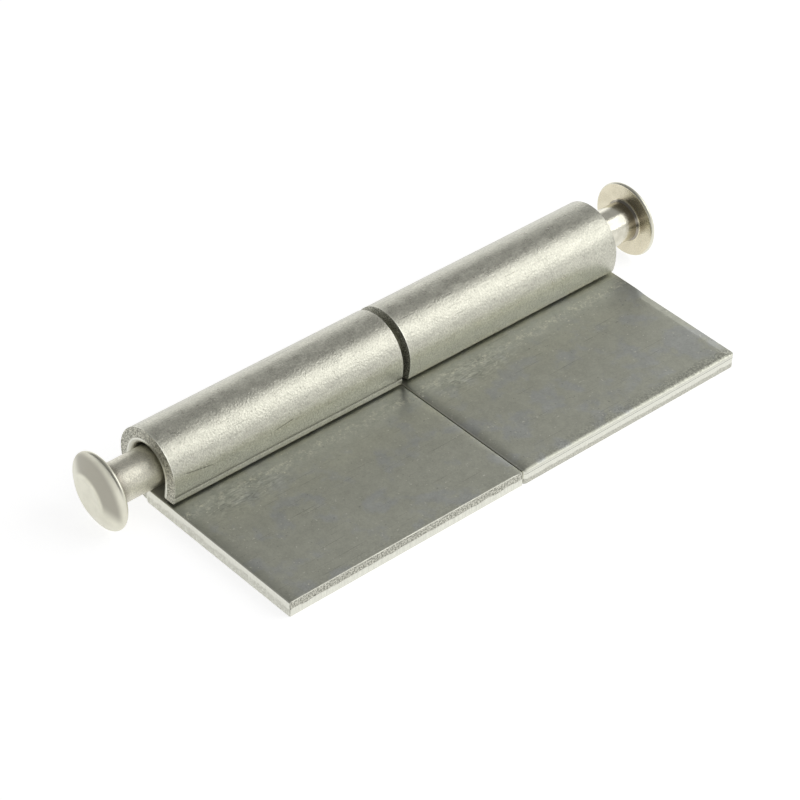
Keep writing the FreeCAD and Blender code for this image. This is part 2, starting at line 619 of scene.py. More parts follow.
    def scuffs(self, tree: Tree, at: StripPlace) -> Socket:
        """Bright spots before the roll: partly rubbed skin, partly painted highlight from the
        roll.

        Args:
            tree: The material's node tree.
            at: Place on the blank.

        Returns:
            A factor, 1 in a spot on the band's middle line and 0 away from it.
        """
        offset = add_node(tree, "ShaderNodeMath", {
            0: at.y, 1: self.scuff_line * MM,
        }, operation="SUBTRACT").outputs["Value"]
        distance = add_node(tree, "ShaderNodeMath", {0: offset}, operation="ABSOLUTE")
        band = add_node(tree, "ShaderNodeMapRange", {
            "Value": distance.outputs["Value"], "From Max": self.scuff_reach * MM,
            "To Min": 1.0, "To Max": 0.0,
        }, interpolation_type="SMOOTHSTEP").outputs["Result"]
        worn = add_node(tree, "ShaderNodeTexNoise", {
            "Vector": at.blank, "Scale": per_mm(self.scuff_size),
            "Detail": 6.0, "Roughness": 0.78,
        }).outputs["Fac"]
        spots = add_node(tree, "ShaderNodeMapRange", {
            "Value": worn, "From Min": self.scuff_edges[0], "From Max": self.scuff_edges[1],
        }).outputs["Result"]
        return add_node(tree, "ShaderNodeMath", {
            0: band, 1: spots,
        }, operation="MULTIPLY").outputs["Value"]

    def edge_wear(self, tree: Tree, at: StripPlace) -> Socket:
        """Painted highlight: a bright line along the flag's front and low edges.

        Args:
            tree: The material's node tree.
            at: Place on the blank.

        Returns:
            A factor, highest at the edge and 0 away from it.
        """
        nearest = add_node(tree, "ShaderNodeMath", {
            0: at.across, 1: at.y,
        }, operation="MINIMUM").outputs["Value"]
        return add_node(tree, "ShaderNodeMapRange", {
            "Value": nearest,
            "From Min": self.wear_reach[0] * MM,
            "From Max": self.wear_reach[1] * MM,
            "To Min": self.wear_most,
            "To Max": 0.0,
        }).outputs["Result"]

    def drawn_edge(self, tree: Tree, at: StripPlace) -> Socket:
        """Painted shade: a darker strip inside the flag's low end.

        Args:
            tree: The material's node tree.
            at: Place on the blank.

        Returns:
            A factor for the colour.
        """
        # Painted shade inside the low end, on the flag only
        shade = add_node(tree, "ShaderNodeMapRange", {
            "Value": at.bend, "To Min": self.drawn_shade, "To Max": 1.0,
        }).outputs["Result"]
        return add_node(tree, "ShaderNodeMapRange", {
            "Value": at.across,
            "From Min": self.drawn_reach[0] * MM,
            "From Max": self.drawn_reach[1] * MM,
            "To Min": shade,
            "To Max": 1.0,
        }, interpolation_type="SMOOTHSTEP").outputs["Result"]

    def smears(self, tree: Tree, at: StripPlace) -> Socket:
        """Smeared handling marks in front of the roll, near the strip's low end.

        Args:
            tree: The material's node tree.
            at: Place on the blank.

        Returns:
            A factor about 1 for the colour.
        """
        (middle_x, middle_y), (reach_x, reach_y) = self.smear_centre, self.smear_reach
        flat = add_node(tree, "ShaderNodeCombineXYZ", {"X": at.across, "Y": at.y})
        local = add_node(tree, "ShaderNodeMapping", {
            "Vector": flat.outputs["Vector"],
            "Location": (-middle_x / reach_x, -middle_y / reach_y, 0.0),
            "Scale": (per_mm(reach_x), per_mm(reach_y), 1.0),
        }).outputs["Vector"]
        distance = add_node(tree, "ShaderNodeVectorMath", {0: local}, operation="LENGTH")
        inside = add_node(tree, "ShaderNodeMapRange", {
            "Value": distance.outputs["Value"], "From Min": self.smear_core, "From Max": 1.0,
            "To Min": 1.0, "To Max": 0.0,
        }, interpolation_type="SMOOTHSTEP").outputs["Result"]
        drawn_out = add_node(tree, "ShaderNodeMapping", {
            "Vector": flat.outputs["Vector"],
            "Rotation": (0.0, 0.0, math.radians(self.smear_slant)),
            "Scale": (per_mm(self.smear_size[0]), per_mm(self.smear_size[1]), 1.0),
        }).outputs["Vector"]
        streaks = add_node(tree, "ShaderNodeTexNoise", {
            "Vector": drawn_out, "Scale": 1.0, "Detail": 4.0, "Roughness": 0.58, "Distortion": 1.4,
        }).outputs["Fac"]
        offset = add_node(tree, "ShaderNodeMath", {0: streaks, 1: 0.5}, operation="SUBTRACT")
        amount = add_node(tree, "ShaderNodeMath", {
            0: offset.outputs["Value"], 1: inside,
        }, operation="MULTIPLY").outputs["Value"]
        return add_node(tree, "ShaderNodeMath", {
            0: amount, 1: self.smear_contrast, 2: 1.0,
        }, operation="MULTIPLY_ADD").outputs["Value"]

    def rim_speckle(self, tree: Tree, at: StripPlace) -> Socket:
        """Dark and light grains where the skin broke up beside the flag's front edge.

        The second strip was cut from the sheet's rim, and shows it more than the first.

        Args:
            tree: The material's node tree.
            at: Place on the blank.

        Returns:
            A factor about 1 for the colour.
        """
        strength = add_node(tree, "ShaderNodeMapRange", {
            "Value": at.x,
            "From Min": self.rim_span[0] * BLANK_PITCH * MM,
            "From Max": self.rim_span[1] * BLANK_PITCH * MM,
            "To Min": self.rim_strength[0],
            "To Max": self.rim_strength[1],
        }).outputs["Result"]
        near = add_node(tree, "ShaderNodeMapRange", {
            "Value": at.y,
            "From Min": self.rim_reach[0] * MM,
            "From Max": self.rim_reach[1] * MM,
            "To Min": strength,
            "To Max": 0.0,
        }, interpolation_type="SMOOTHSTEP").outputs["Result"]
        grit = add_node(tree, "ShaderNodeTexNoise", {
            "Vector": at.blank, "Scale": per_mm(self.rim_grit), "Detail": 3.0, "Roughness": 0.7,
        }).outputs["Fac"]
        grains = add_node(tree, "ShaderNodeMapRange", {
            "Value": grit, "From Min": self.rim_edges[0], "From Max": self.rim_edges[1],
            "To Min": self.rim_tone[0], "To Max": self.rim_tone[1],
        }).outputs["Result"]
        return add_node(tree, "ShaderNodeMath", {
            0: grains, 1: near, 2: 1.0,
        }, operation="MULTIPLY_ADD").outputs["Value"]

    def drawn_streaks(self, tree: Tree, at: StripPlace) -> Socket:
        """Soft light and dark streaks along the roll, where the die has drawn the skin.

        Args:
            tree: The material's node tree.
            at: Place on the blank.

        Returns:
            A factor about 1 for the colour.
        """
        along = add_node(tree, "ShaderNodeMapping", {
            "Vector": at.blank,
            "Rotation": (0.0, 0.0, math.radians(self.streak_slant)),
            "Scale": tuple(per_mm(size) for size in self.streak_size),
        }).outputs["Vector"]
        streaks = add_node(tree, "ShaderNodeTexNoise", {
            "Vector": along, "Scale": 1.0, "Detail": 5.0, "Roughness": 0.62, "Distortion": 0.6,
        }).outputs["Fac"]
        offset = add_node(tree, "ShaderNodeMath", {0: streaks, 1: 0.5}, operation="SUBTRACT")
        amount = add_node(tree, "ShaderNodeMath", {
            0: offset.outputs["Value"], 1: at.bend,
        }, operation="MULTIPLY").outputs["Value"]
        return add_node(tree, "ShaderNodeMath", {
            0: amount, 1: self.streak_contrast, 2: 1.0,
        }, operation="MULTIPLY_ADD").outputs["Value"]

    def groove_dirt(self, tree: Tree) -> Socket:
        """Darkening in the line pressed above the rolled free edge, as a factor."""
        groove = add_node(tree, "ShaderNodeAttribute", attribute_name=GROOVE).outputs["Fac"]
        return add_node(tree, "ShaderNodeMapRange", {
            "Value": groove, "From Min": self.groove_edges[0], "From Max": self.groove_edges[1],
            "To Min": 1.0, "To Max": self.groove_shade,
        }, interpolation_type="SMOOTHSTEP").outputs["Result"]

    def pits(self, tree: Tree, fleck_noise: Socket) -> Socket:
        """Darkening in sparse tiny pits, as a factor for the colour."""
        return add_node(tree, "ShaderNodeMapRange", {
            "Value": fleck_noise, "From Min": self.pit_edges[0], "From Max": self.pit_edges[1],
            "To Min": self.pit_shade, "To Max": 1.0,
        }, interpolation_type="SMOOTHSTEP").outputs["Result"]

    def scratch_tone(self, tree: Tree, scratches: Socket) -> Socket:
        """Darkening in the scratches, as a factor for the colour."""
        return add_node(tree, "ShaderNodeMath", {
            0: scratches, 1: -self.scratch_shade, 2: 1.0,
        }, operation="MULTIPLY_ADD").outputs["Value"]

    def tone(self, tree: Tree, at: StripPlace, clouds: Socket, peel: Socket) -> Socket:
        """Light and dark of the skin: soft clouds everywhere, and a sparkle on the bend.

        Args:
            tree: The material's node tree.
            at: Place on the blank.
            clouds: Soft variation.
            peel: Relief of the stretched skin.

        Returns:
            A factor about 1 for the colour.
        """
        soft = add_node(tree, "ShaderNodeMapRange", {
            "Value": clouds, "From Min": NOISE_LOW, "From Max": NOISE_HIGH,
            "To Min": self.cloud_tone[0], "To Max": self.cloud_tone[1],
        }).outputs["Result"]
        spread = add_node(tree, "ShaderNodeMapRange", {
            "Value": at.bend, "To Min": self.peel_contrast[0], "To Max": self.peel_contrast[1],
        }).outputs["Result"]
        offset = add_node(tree, "ShaderNodeMath", {0: peel, 1: 0.5}, operation="SUBTRACT")
        return add_node(tree, "ShaderNodeMath", {
            0: offset.outputs["Value"], 1: spread, 2: soft,
        }, operation="MULTIPLY_ADD").outputs["Value"]

    def rough(self, tree: Tree, at: StripPlace, clouds: Socket) -> Socket:
        """Roughness: satin on the flag, brighter on the roll, rougher in the slit and the bore.

        Args:
            tree: The material's node tree.
            at: Place on the blank.
            clouds: Soft variation.

        Returns:
            The roughness.
        """
        flag = add_node(tree, "ShaderNodeMath", {
            0: at.in_slit, 1: self.slit_roughness, 2: self.roughness,
        }, operation="MULTIPLY_ADD").outputs["Value"]
        rough = add_node(tree, "ShaderNodeMapRange", {
            "Value": at.bend, "To Min": flag, "To Max": self.bend_roughness,
        }).outputs["Result"]
        inner = add_node(tree, "ShaderNodeMapRange", {
            "Value": at.z, "From Min": self.inner[0] * MM, "From Max": self.inner[1] * MM,
            "To Min": 0.0, "To Max": at.bend,
        }).outputs["Result"]
        for share, amount in ((clouds, self.cloud_roughness), (inner, self.inner_roughness)):
            rough = add_node(tree, "ShaderNodeMath", {
                0: share, 1: amount, 2: rough,
            }, operation="MULTIPLY_ADD").outputs["Value"]
        return rough

    def height(
        self, tree: Tree, at: StripPlace, clouds: Socket, grain: Socket, peel: Socket
    ) -> Socket:
        """Add up the skin's relief, without scratches and flecks.

        Args:
            tree: The material's node tree.
            at: Place on the blank.
            clouds: Soft variation, which makes the peel patchy.
            grain: Fine pickled grain.
            peel: Coarser relief of the stretched skin.

        Returns:
            Height in metres.
        """
        grained = add_node(tree, "ShaderNodeMath", {
            0: grain, 1: self.grain_height * MM,
        }, operation="MULTIPLY").outputs["Value"]
        patchy = add_node(tree, "ShaderNodeMapRange", {
            "Value": clouds, "From Min": self.peel_edges[0], "From Max": self.peel_edges[1],
            "To Min": self.peel_height[0] * MM, "To Max": self.peel_height[1] * MM,
        }).outputs["Result"]
        amount = add_node(tree, "ShaderNodeMath", {
            0: at.bend, 1: patchy, 2: self.flag_peel * MM,
        }, operation="MULTIPLY_ADD").outputs["Value"]
        relief = add_node(tree, "ShaderNodeMath", {0: peel, 1: 0.5}, operation="SUBTRACT")
        return add_node(tree, "ShaderNodeMath", {
            0: relief.outputs["Value"], 1: amount, 2: grained,
        }, operation="MULTIPLY_ADD").outputs["Value"]


@dataclass(frozen=True)
class ShearedSteel:
    """The same steel where the shear has cut it.

    The eye sees a bright burnished band with fine lines across the sheet, and below a wavy
    boundary the torn band, which is rough and sparkles in dark and light grains. Sizes in mm.
    A pair of roughness or relief is that of the burnished and of the torn band.

    Attributes:
        name: The material's name.
        burnished: Colour of the burnished band.
        torn_dark: Darkest grain of the torn band.
        torn_light: Its lightest grain.
        seam: Colour of the fine dark line.
        grit: Size of the grains.
        grit_edges: Noise values of the darkest and the lightest grain.
        ragged: How much the grains fray the boundary.
        boundary: Where the frayed tear starts to show and where it shows in full.
        line: Width of the burnished lines, drawn coarser than the real ones so that they show.
        line_length: Their length.
        line_tone: Factors for the colour in the darkest and the lightest line.
        line_relief: Their height.
        seam_edges: Where the dark line starts to show and where it shows in full.
        roughness: Pair of roughness.
        relief: Pair of the grains' height.
    """

    name: str = "sheared_steel_edge"
    burnished: str = "#E4E4D9"
    torn_dark: str = "#8A8A7F"
    torn_light: str = "#E0DFD3"
    seam: str = "#84847A"
    grit: float = 0.35
    grit_edges: Pair = (0.43, 0.57)
    ragged: float = 1.2
    boundary: Pair = (0.95, 1.25)
    line: float = 0.13
    line_length: float = 2.4
    line_tone: Pair = (0.86, 1.08)
    line_relief: float = 0.010
    seam_edges: Pair = (0.70, 0.92)
    roughness: Pair = (0.30, 0.52)
    relief: Pair = (0.004, 0.10)

    def build(self) -> bpy.types.Material:
        """Make the node material.

        Returns:
            The material, which reads the attributes and the map of a leaf's cut faces.
        """
        material, tree = new_material(self.name)
        blank = add_node(tree, "ShaderNodeAttribute", attribute_name=BLANK).outputs["Vector"]
        torn = add_node(tree, "ShaderNodeAttribute", attribute_name=TORN).outputs["Fac"]
        cut = add_node(tree, "ShaderNodeUVMap", uv_map=CUT_MAP).outputs["UV"]

        grit = add_node(tree, "ShaderNodeTexNoise", {
            "Vector": blank, "Scale": per_mm(self.grit), "Detail": 4.0, "Roughness": 0.75,
        }).outputs["Fac"]
        frayed = add_node(tree, "ShaderNodeMath", {
            0: grit, 1: self.ragged, 2: torn,
        }, operation="MULTIPLY_ADD").outputs["Value"]
        zone = add_node(tree, "ShaderNodeMapRange", {
            "Value": frayed, "From Min": self.boundary[0], "From Max": self.boundary[1],
        }, interpolation_type="SMOOTHSTEP").outputs["Result"]

        across = add_node(tree, "ShaderNodeMapping", {
            "Vector": cut,
            "Scale": (per_mm(self.line), per_mm(self.line_length), 1.0),
        }).outputs["Vector"]
        lines = add_node(tree, "ShaderNodeTexNoise", {
            "Vector": across, "Scale": 1.0, "Detail": 2.0,
        }).outputs["Fac"]
        line_gain = add_node(tree, "ShaderNodeMapRange", {
            "Value": lines, "From Min": NOISE_LOW, "From Max": NOISE_HIGH,
            "To Min": self.line_tone[0], "To Max": self.line_tone[1],
        }).outputs["Result"]
        burnished = add_node(tree, "ShaderNodeVectorMath", {
            0: to_linear(self.burnished)[:3], "Scale": line_gain,
        }, operation="SCALE").outputs["Vector"]

        grains = add_node(tree, "ShaderNodeMapRange", {
            "Value": grit, "From Min": self.grit_edges[0], "From Max": self.grit_edges[1],
        }).outputs["Result"]
        torn_colour = add_node(tree, "ShaderNodeMix", {
            "Factor": grains, 6: to_linear(self.torn_dark), 7: to_linear(self.torn_light),
        }, data_type="RGBA").outputs[2]
        seam = add_node(tree, "ShaderNodeAttribute", attribute_name=SEAM).outputs["Fac"]
        seam_line = add_node(tree, "ShaderNodeMapRange", {
            "Value": seam, "From Min": self.seam_edges[0], "From Max": self.seam_edges[1],
        }, interpolation_type="SMOOTHSTEP").outputs["Result"]
        colour = burnished
        for share, other in ((zone, torn_colour), (seam_line, to_linear(self.seam))):
            colour = add_node(tree, "ShaderNodeMix", {
                "Factor": share, 6: colour, 7: other,
            }, data_type="RGBA").outputs[2]

        rough = add_node(tree, "ShaderNodeMapRange", {
            "Value": zone, "To Min": self.roughness[0], "To Max": self.roughness[1],
        }).outputs["Result"]
        line_height = add_node(tree, "ShaderNodeMath", {
            0: lines, 1: self.line_relief * MM,
        }, operation="MULTIPLY").outputs["Value"]
        grit_amount = add_node(tree, "ShaderNodeMapRange", {
            "Value": zone, "To Min": self.relief[0] * MM, "To Max": self.relief[1] * MM,
        }).outputs["Result"]
        height = add_node(tree, "ShaderNodeMath", {
            0: grit, 1: grit_amount, 2: line_height,
        }, operation="MULTIPLY_ADD").outputs["Value"]
        close_metal(tree, colour, rough, height)
        return material


@dataclass(frozen=True)
class PlatedSteel:
    """Nickel-plated steel bar with cold-formed heads.

    The eye sees a warm pale metal: satin on the domes, where the heading tool and tumbling have
    dulled it, and brighter on the shank and under the heads. Sizes in mm, and a span is two
    places along the pin.

    Attributes:
        name: The material's name.
        colour: Colour of the plating.
        shade: Colour of its clouds.
        dull: Colour of the painted shade by the heads and painted reflection on the domes.
        roughness: Its roughness in the smoothest speckle.
        roughness_spread: What the roughest adds.
        speckle: Size of the speckle.
        relief: Height of the speckle.
        worn: Share of roughness and relief that is left at the far end of the wear span.
        grain: Contrast of a coarse grain at the near end of the grain span.
        cloud: Size of the clouds.
        cloud_edges: Noise values at which a cloud starts to show and shows in full.
        wear_span: Where the wear starts and where it is full.
        grain_size: Size of the coarse grain.
        grain_span: Where that grain is strongest and where it has gone.
        grain_relief: Its height.
    """

    name: str
    colour: str
    shade: str
    dull: str
    roughness: float
    roughness_spread: float
    speckle: float
    relief: float
    worn: float = 1.0
    grain: float = 0.0
    cloud: float = 2.6
    cloud_edges: Pair = (0.36, 0.70)
    wear_span: Pair = (-40.0, 40.0)
    grain_size: float = 0.26
    grain_span: Pair = (-60.0, 50.0)
    grain_relief: float = 0.030

    def build(self) -> bpy.types.Material:
        """Make the node material.

        Returns:
            The material, which reads Object coordinates and the pin's painted shade attribute.
        """
        material, tree = new_material(self.name)
        place = add_node(tree, "ShaderNodeTexCoord").outputs["Object"]
        speckle, clouds, grain = (
            add_node(tree, "ShaderNodeTexNoise", {
                "Vector": place, "Scale": per_mm(size), "Detail": detail, "Roughness": fine,
            }).outputs["Fac"]
            for size, detail, fine in (
                (self.speckle, 4.0, 0.65), (self.cloud, 4.0, 0.6), (self.grain_size, 3.0, 0.7),
            )
        )
        clouded = add_node(tree, "ShaderNodeMapRange", {
            "Value": clouds, "From Min": self.cloud_edges[0], "From Max": self.cloud_edges[1],
        }, interpolation_type="SMOOTHSTEP").outputs["Result"]
        shoulder = add_node(tree, "ShaderNodeAttribute", attribute_name=SHOULDER).outputs["Fac"]
        colour = to_linear(self.colour)
        # Painted shade and reflection: a darker colour next to the heads and round the flats
        for share, other in ((clouded, self.shade), (shoulder, self.dull)):
            colour = add_node(tree, "ShaderNodeMix", {
                "Factor": share, 6: colour, 7: to_linear(other),
            }, data_type="RGBA").outputs[2]

        along = add_node(tree, "ShaderNodeSeparateXYZ", {"Vector": place}).outputs["X"]
        kept, grained = (
            add_node(tree, "ShaderNodeMapRange", {
                "Value": along, "From Min": span[0] * MM, "From Max": span[1] * MM,
                "To Min": first, "To Max": last,
            }).outputs["Result"]
            for span, first, last in (
                (self.wear_span, 1.0, self.worn), (self.grain_span, self.grain, 0.0),
            )
        )
        offset = add_node(tree, "ShaderNodeMath", {0: grain, 1: 0.5}, operation="SUBTRACT")
        shade = add_node(tree, "ShaderNodeMath", {
            0: offset.outputs["Value"], 1: grained,
        }, operation="MULTIPLY").outputs["Value"]
        gain = add_node(tree, "ShaderNodeMath", {0: shade, 1: 1.0}, operation="ADD")
        colour = add_node(tree, "ShaderNodeVectorMath", {
            0: colour, "Scale": gain.outputs["Value"],
        }, operation="SCALE").outputs["Vector"]

        rough = add_node(tree, "ShaderNodeMapRange", {
            "Value": speckle, "From Min": NOISE_LOW, "From Max": NOISE_HIGH,
            "To Min": self.roughness, "To Max": self.roughness + self.roughness_spread,
        }).outputs["Result"]
        rough = add_node(tree, "ShaderNodeMath", {
            0: rough, 1: kept,
        }, operation="MULTIPLY").outputs["Value"]
        amount = add_node(tree, "ShaderNodeMath", {
            0: kept, 1: self.relief * MM,
        }, operation="MULTIPLY").outputs["Value"]
        height = add_node(tree, "ShaderNodeMath", {
            0: speckle, 1: amount,
        }, operation="MULTIPLY").outputs["Value"]
        height = add_node(tree, "ShaderNodeMath", {
            0: shade, 1: self.grain_relief * MM, 2: height,
        }, operation="MULTIPLY_ADD").outputs["Value"]
        close_metal(tree, colour, rough, height)
        return material


@dataclass(frozen=True)
class ShearedEdge:
    """One edge of the blank as the shear left it. Sizes in mm.

    Attributes:
        rolled_over: The face that the shear pulled down at this edge.
        roll_width: How far that rounding reaches into the face.
        roll_depth: How far it drops at the edge itself.
        burnish: Share of the thickness that is burnished rather than torn.
        slope: How far the torn part stands back at the other face.
        tear: Height of the torn part's unevenness.
        burr: Height of the lip on the other face.
        harshness: How torn the torn part is at most, from 0 to 1.
        bent_width: Reach of the rounding where the strip is rolled up.
        bent_depth: Its drop there.
        seam: Share of the thickness at which a fine dark line runs, or 0 for none.
        bevel_end: Place along the edge up to which the rounding is worn to a flat bevel, or 0.
    """

    rolled_over: Face = Face.UPPER
    roll_width: float = 1.3
    roll_depth: float = 0.38
    burnish: float = 0.45
    slope: float = 0.12
    tear: float = 0.06
    burr: float = 0.0
    harshness: float = 1.0
    bent_width: float = 1.1
    bent_depth: float = 0.85
    seam: float = 0.0
    bevel_end: float = 0.0

    def drop(self, face: Face, inward: float, along: float, bent: float) -> float:
        """How far a face is pulled in, or pushed out if negative, near this edge.

        Args:
            face: The face of the sheet.
            inward: Distance from the edge, in mm.
            along: Place along the edge, in mm.
            bent: 0 on the flag and 1 where the strip is rolled up.

        Returns:
            The drop, in mm.
        """
        if face is not self.rolled_over:
            if inward < BURR_TIP:
                return TIP_DROP * self.burr
            return -self.burr * max(0.0, 1.0 - inward / BURR_REACH) ** 2
        kept = 1.0
        if self.bevel_end > 0.0:
            start, end = self.bevel_end - BEVEL_FADE, self.bevel_end + BEVEL_FADE
            kept = 1.0 - BEVEL_LOSS * smooth_step(along, start, end)
        width = self.roll_width * kept + (self.bent_width - self.roll_width * kept) * bent
        depth = self.roll_depth * kept + (self.bent_depth - self.roll_depth * kept) * bent
        reach = min(1.0, max(0.0, 1.0 - inward / width))
        if self.bevel_end > 0.0 and bent == 0.0:
            return depth * reach
        return depth * (1.0 - math.sqrt(1.0 - reach ** 2))

    def tornness(self, depth: float, along: float, bent: float, seed: float) -> float:
        """How torn the cut is, from 0 to 1.

        Args:
            depth: Share of the thickness from the rolled-over face.
            along: Place along the edge, in mm.
            bent: 1 where the strip was bent after shearing, which opens the tear, else 0.
            seed: A number that makes each edge differ.

        Returns:
            0 in the burnished band, 1 in the torn one.
        """
        wave = WAVE_HEIGHT * noise.noise(Vector((along / WAVE_LENGTH, seed, 0.0)))
        start = (self.burnish + wave) * (1.0 - BEND_TEAR * bent)
        most = self.harshness + (1.0 - self.harshness) * bent
        return most * min(1.0, max(0.0, (depth - start) / TEAR_ONSET))


def graded(length: float, fine: float, reach: float, coarse: float) -> list[float]:
    """Places along a length, close together near both ends.

    Args:
        length: The whole length.
        fine: Step near the ends.
        reach: How far the fine steps go.
        coarse: About the step in between.

    Returns:
        The places, from 0 to length.
    """
    near = [fine * k for k in range(round(reach / fine))]
    count = max(1, round((length - 2 * reach) / coarse))
    middle = [reach + (length - 2 * reach) * k / count for k in range(count + 1)]
    return near + middle + [length - place for place in reversed(near)]


@dataclass
class RolledLeaf:
    """One leaf: a sheared strip of sheet, flat as the flag and rolled into the knuckle.

    A point of the flat blank is (along the pin, developed length from the flag's front edge,
    height over the lower face), in mm.

    Attributes:
        node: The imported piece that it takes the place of.
        seed: A number that makes its tears and its texture differ from the other leaf's.
        low_setback: How far the knuckle stands back from the flag's left end.
        high_setback: The same at its right end.
        front: The flag's front edge.
        low_end: The left edge.
        high_end: The right edge.
        free: The rolled free edge.
        corner_round: Rounding of the front corners in plan.
        foot_lean: How far the foot of the front wall leans back under the roll.
        lip_groove: Depth of the line that the rolling die pressed above the free edge.
        lip: Height of that line above the free edge.
        sheet: Thickness.
        curl_gap: Slit between the free edge and the flag.
        layers: Divisions of the thickness.
        low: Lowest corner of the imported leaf's box.
        high: Its highest corner.
        radius: Outside of the roll.
        axis_y: Place of the pin's axis.
        axis_z: Height of that axis.
        flag_low: Place of the flag's left end.
        flag_high: Place of its right end.
        width: Width of the strip, which is the flag's length along the pin.
        flat: Developed length of the flag, up to under the pin.
        arc: Developed length of the outside of the bend.
        wall: Length of the straight front wall.
        length: Developed length of the outside of the whole strip.
    """

    node: str
    seed: float
    low_setback: float
    high_setback: float
    front: ShearedEdge
    low_end: ShearedEdge
    high_end: ShearedEdge
    free: ShearedEdge
    corner_round: float = 0.6
    foot_lean: float = 0.0
    lip_groove: float = 0.0
    lip: float = 1.45
    sheet: float = 3.2
    curl_gap: float = 0.45
    layers: int = 10
    low: Vector = field(init=False)
    high: Vector = field(init=False)
    radius: float = field(init=False)
    axis_y: float = field(init=False)
    axis_z: float = field(init=False)
    flag_low: float = field(init=False)
    flag_high: float = field(init=False)
    width: float = field(init=False)
    flat: float = field(init=False)
    arc: float = field(init=False)
    wall: float = field(init=False)
    length: float = field(init=False)

    def __post_init__(self) -> None:
        """Read the leaf's box and work out its main lines."""
        low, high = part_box(self.node)
        self.low, self.high = low / MM, high / MM
        self.radius = (self.high.z - self.low.z) / 2
        self.axis_y = self.high.y - self.radius
        self.axis_z = self.low.z + self.radius
        self.flag_low = self.low.x - min(0.0, self.low_setback)
        self.flag_high = self.high.x + min(0.0, self.high_setback)
        self.width = self.flag_high - self.flag_low
        self.flat = self.axis_y - self.low.y
        self.arc = 1.5 * math.pi * self.radius
        self.wall = self.radius - self.sheet - self.curl_gap
        self.length = self.flat + self.arc + self.wall

    def across_stations(self) -> list[float]:
        """Places across the strip, from its low end."""
        return graded(self.width, EDGE_STEP, EDGE_REACH, ACROSS_STEP)

    def along_stations(self) -> list[float]:
        """Places along the strip.

        Returns:
            The places, from the flag's front edge to the rolled free edge.
        """
        flag = graded(self.flat, EDGE_STEP, EDGE_REACH, ALONG_STEP)
        # The flag has no edge where it runs into the roll, so its fine steps there are left out
        flag = [place for place in flag if place < self.flat - JOIN_REACH]
        arc = [self.flat + self.arc * k / ARC_STEPS for k in range(ARC_STEPS + 1)]
        wall_start = self.flat + self.arc
        steps = round(self.wall / WALL_STEP)
        wall = [wall_start + self.wall * k / steps for k in range(1, steps + 1)]
        return flag + [self.flat - JOIN_REACH / 2] + arc + wall

    def bend_share(self, place: Vector) -> float:
        """How far the bend has opened the sheared ends at a place, from 0 to 1."""
        return min(1.0, max(0.0, (place.y - self.flat) / BEND_ONSET))

    def face_drop(self, face: Face, place: Vector) -> float:
        """How far a face is pulled in at a place of the blank, from all four edges.

        Args:
            face: The face of the sheet.
            place: The place on the blank, in mm.

        Returns:
            The largest drop, or the largest push outwards, which is negative, if there is none.
        """
        gaps = (place.y, self.length - place.y, place.x, self.width - place.x)
        edges = (self.front, self.free, self.low_end, self.high_end)
        runs = (place.x, place.x, place.y, place.y)
        bent = self.bend_share(place)
        opened = (0.0, 0.0, bent, bent)
        drops = [
            edge.drop(face, gap, run, turn)
            for edge, gap, run, turn in zip(edges, gaps, runs, opened)
        ]
        inward = max(drops)
        outward = min(drops)
        return inward if inward > 0.0 else outward

    def sheared(self, place: Vector) -> tuple[Vector, float, float]:
        """Shape a point of the plain blank as the shear left it.

        Args:
            place: The point, in mm, with x measured from the low end.

        Returns:
            The shaped point, how torn the surface is there, and whether it is on a seam.
        """
        top = self.sheet - self.face_drop(Face.UPPER, place)
        bottom = self.face_drop(Face.LOWER, place)
        share = place.z / self.sheet
        shaped = Vector((place.x, place.y, bottom + (top - bottom) * share))
        torn_most = 0.0
        seam = 0.0
        bent = self.bend_share(place)
        sides = (
            (self.front, place.y, place.x, 0.0, Vector((0, 1, 0)), 0.0),
            (self.free, self.length - place.y, place.x, 0.0, Vector((0, -1, 0)), 1.0),
            (self.low_end, place.x, place.y, bent, Vector((1, 0, 0)), 2.0),
            (self.high_end, self.width - place.x, place.y, bent, Vector((-1, 0, 0)), 3.0),
        )
        for edge, gap, along, opened, inward, number in sides:
            if gap >= RECESS_REACH:
                continue
            depth = 1.0 - share if edge.rolled_over is Face.UPPER else share
            torn = edge.tornness(depth, along, opened, self.seed + CUT_STEP * number)
            below = max(0.0, depth - edge.burnish) / (1.0 - edge.burnish)
            bumps = Vector((along * BUMPS_ALONG, depth * BUMPS_DEEP, self.seed + number))
            rough = noise.noise(bumps)
            recess = torn * (edge.slope * below + edge.tear * (0.5 + 0.5 * rough))
            shaped += inward * recess * (1.0 - gap / RECESS_REACH)
            if gap < TINY:
                torn_most = max(torn_most, torn)
                on_seam = edge.seam > 0.0 and abs(depth - edge.seam) < 0.5 / self.layers
                seam = max(seam, float(on_seam))
        return shaped, torn_most, seam

    def rounded_corner(self, place: Vector) -> Vector:
        """Round the flag's front corners in plan.

        Args:
            place: A point of the sheared blank, in mm.

        Returns:
            The point, moved in if it is at a corner.
        """
        reach = self.corner_round
        from_low = place.x < self.width / 2
        gap = place.x if from_low else self.width - place.x
        if gap >= reach or place.y >= reach:
            return place
        side = 1.0 - gap / reach
        ahead = 1.0 - place.y / reach
        side, ahead = side * math.sqrt(1 - ahead ** 2 / 2), ahead * math.sqrt(1 - side ** 2 / 2)
        gap = reach * (1.0 - side)
        across = gap if from_low else self.width - gap
        return Vector((across, reach * (1.0 - ahead), place.z))

    def groove_share(self, place: Vector) -> float:
        """How far down a point is in the line pressed above the free edge.

        Args:
            place: A point of the blank, in mm.

        Returns:
            From 0 outside the line to 1 at its bottom.
        """
        if self.lip_groove == 0.0 or place.z > GROOVE_SHARE * self.sheet:
            return 0.0
        above = self.length - place.y - self.lip
        reach = GROOVE_ABOVE if above > 0.0 else GROOVE_BELOW
        return math.exp(-(above / reach) ** 2)

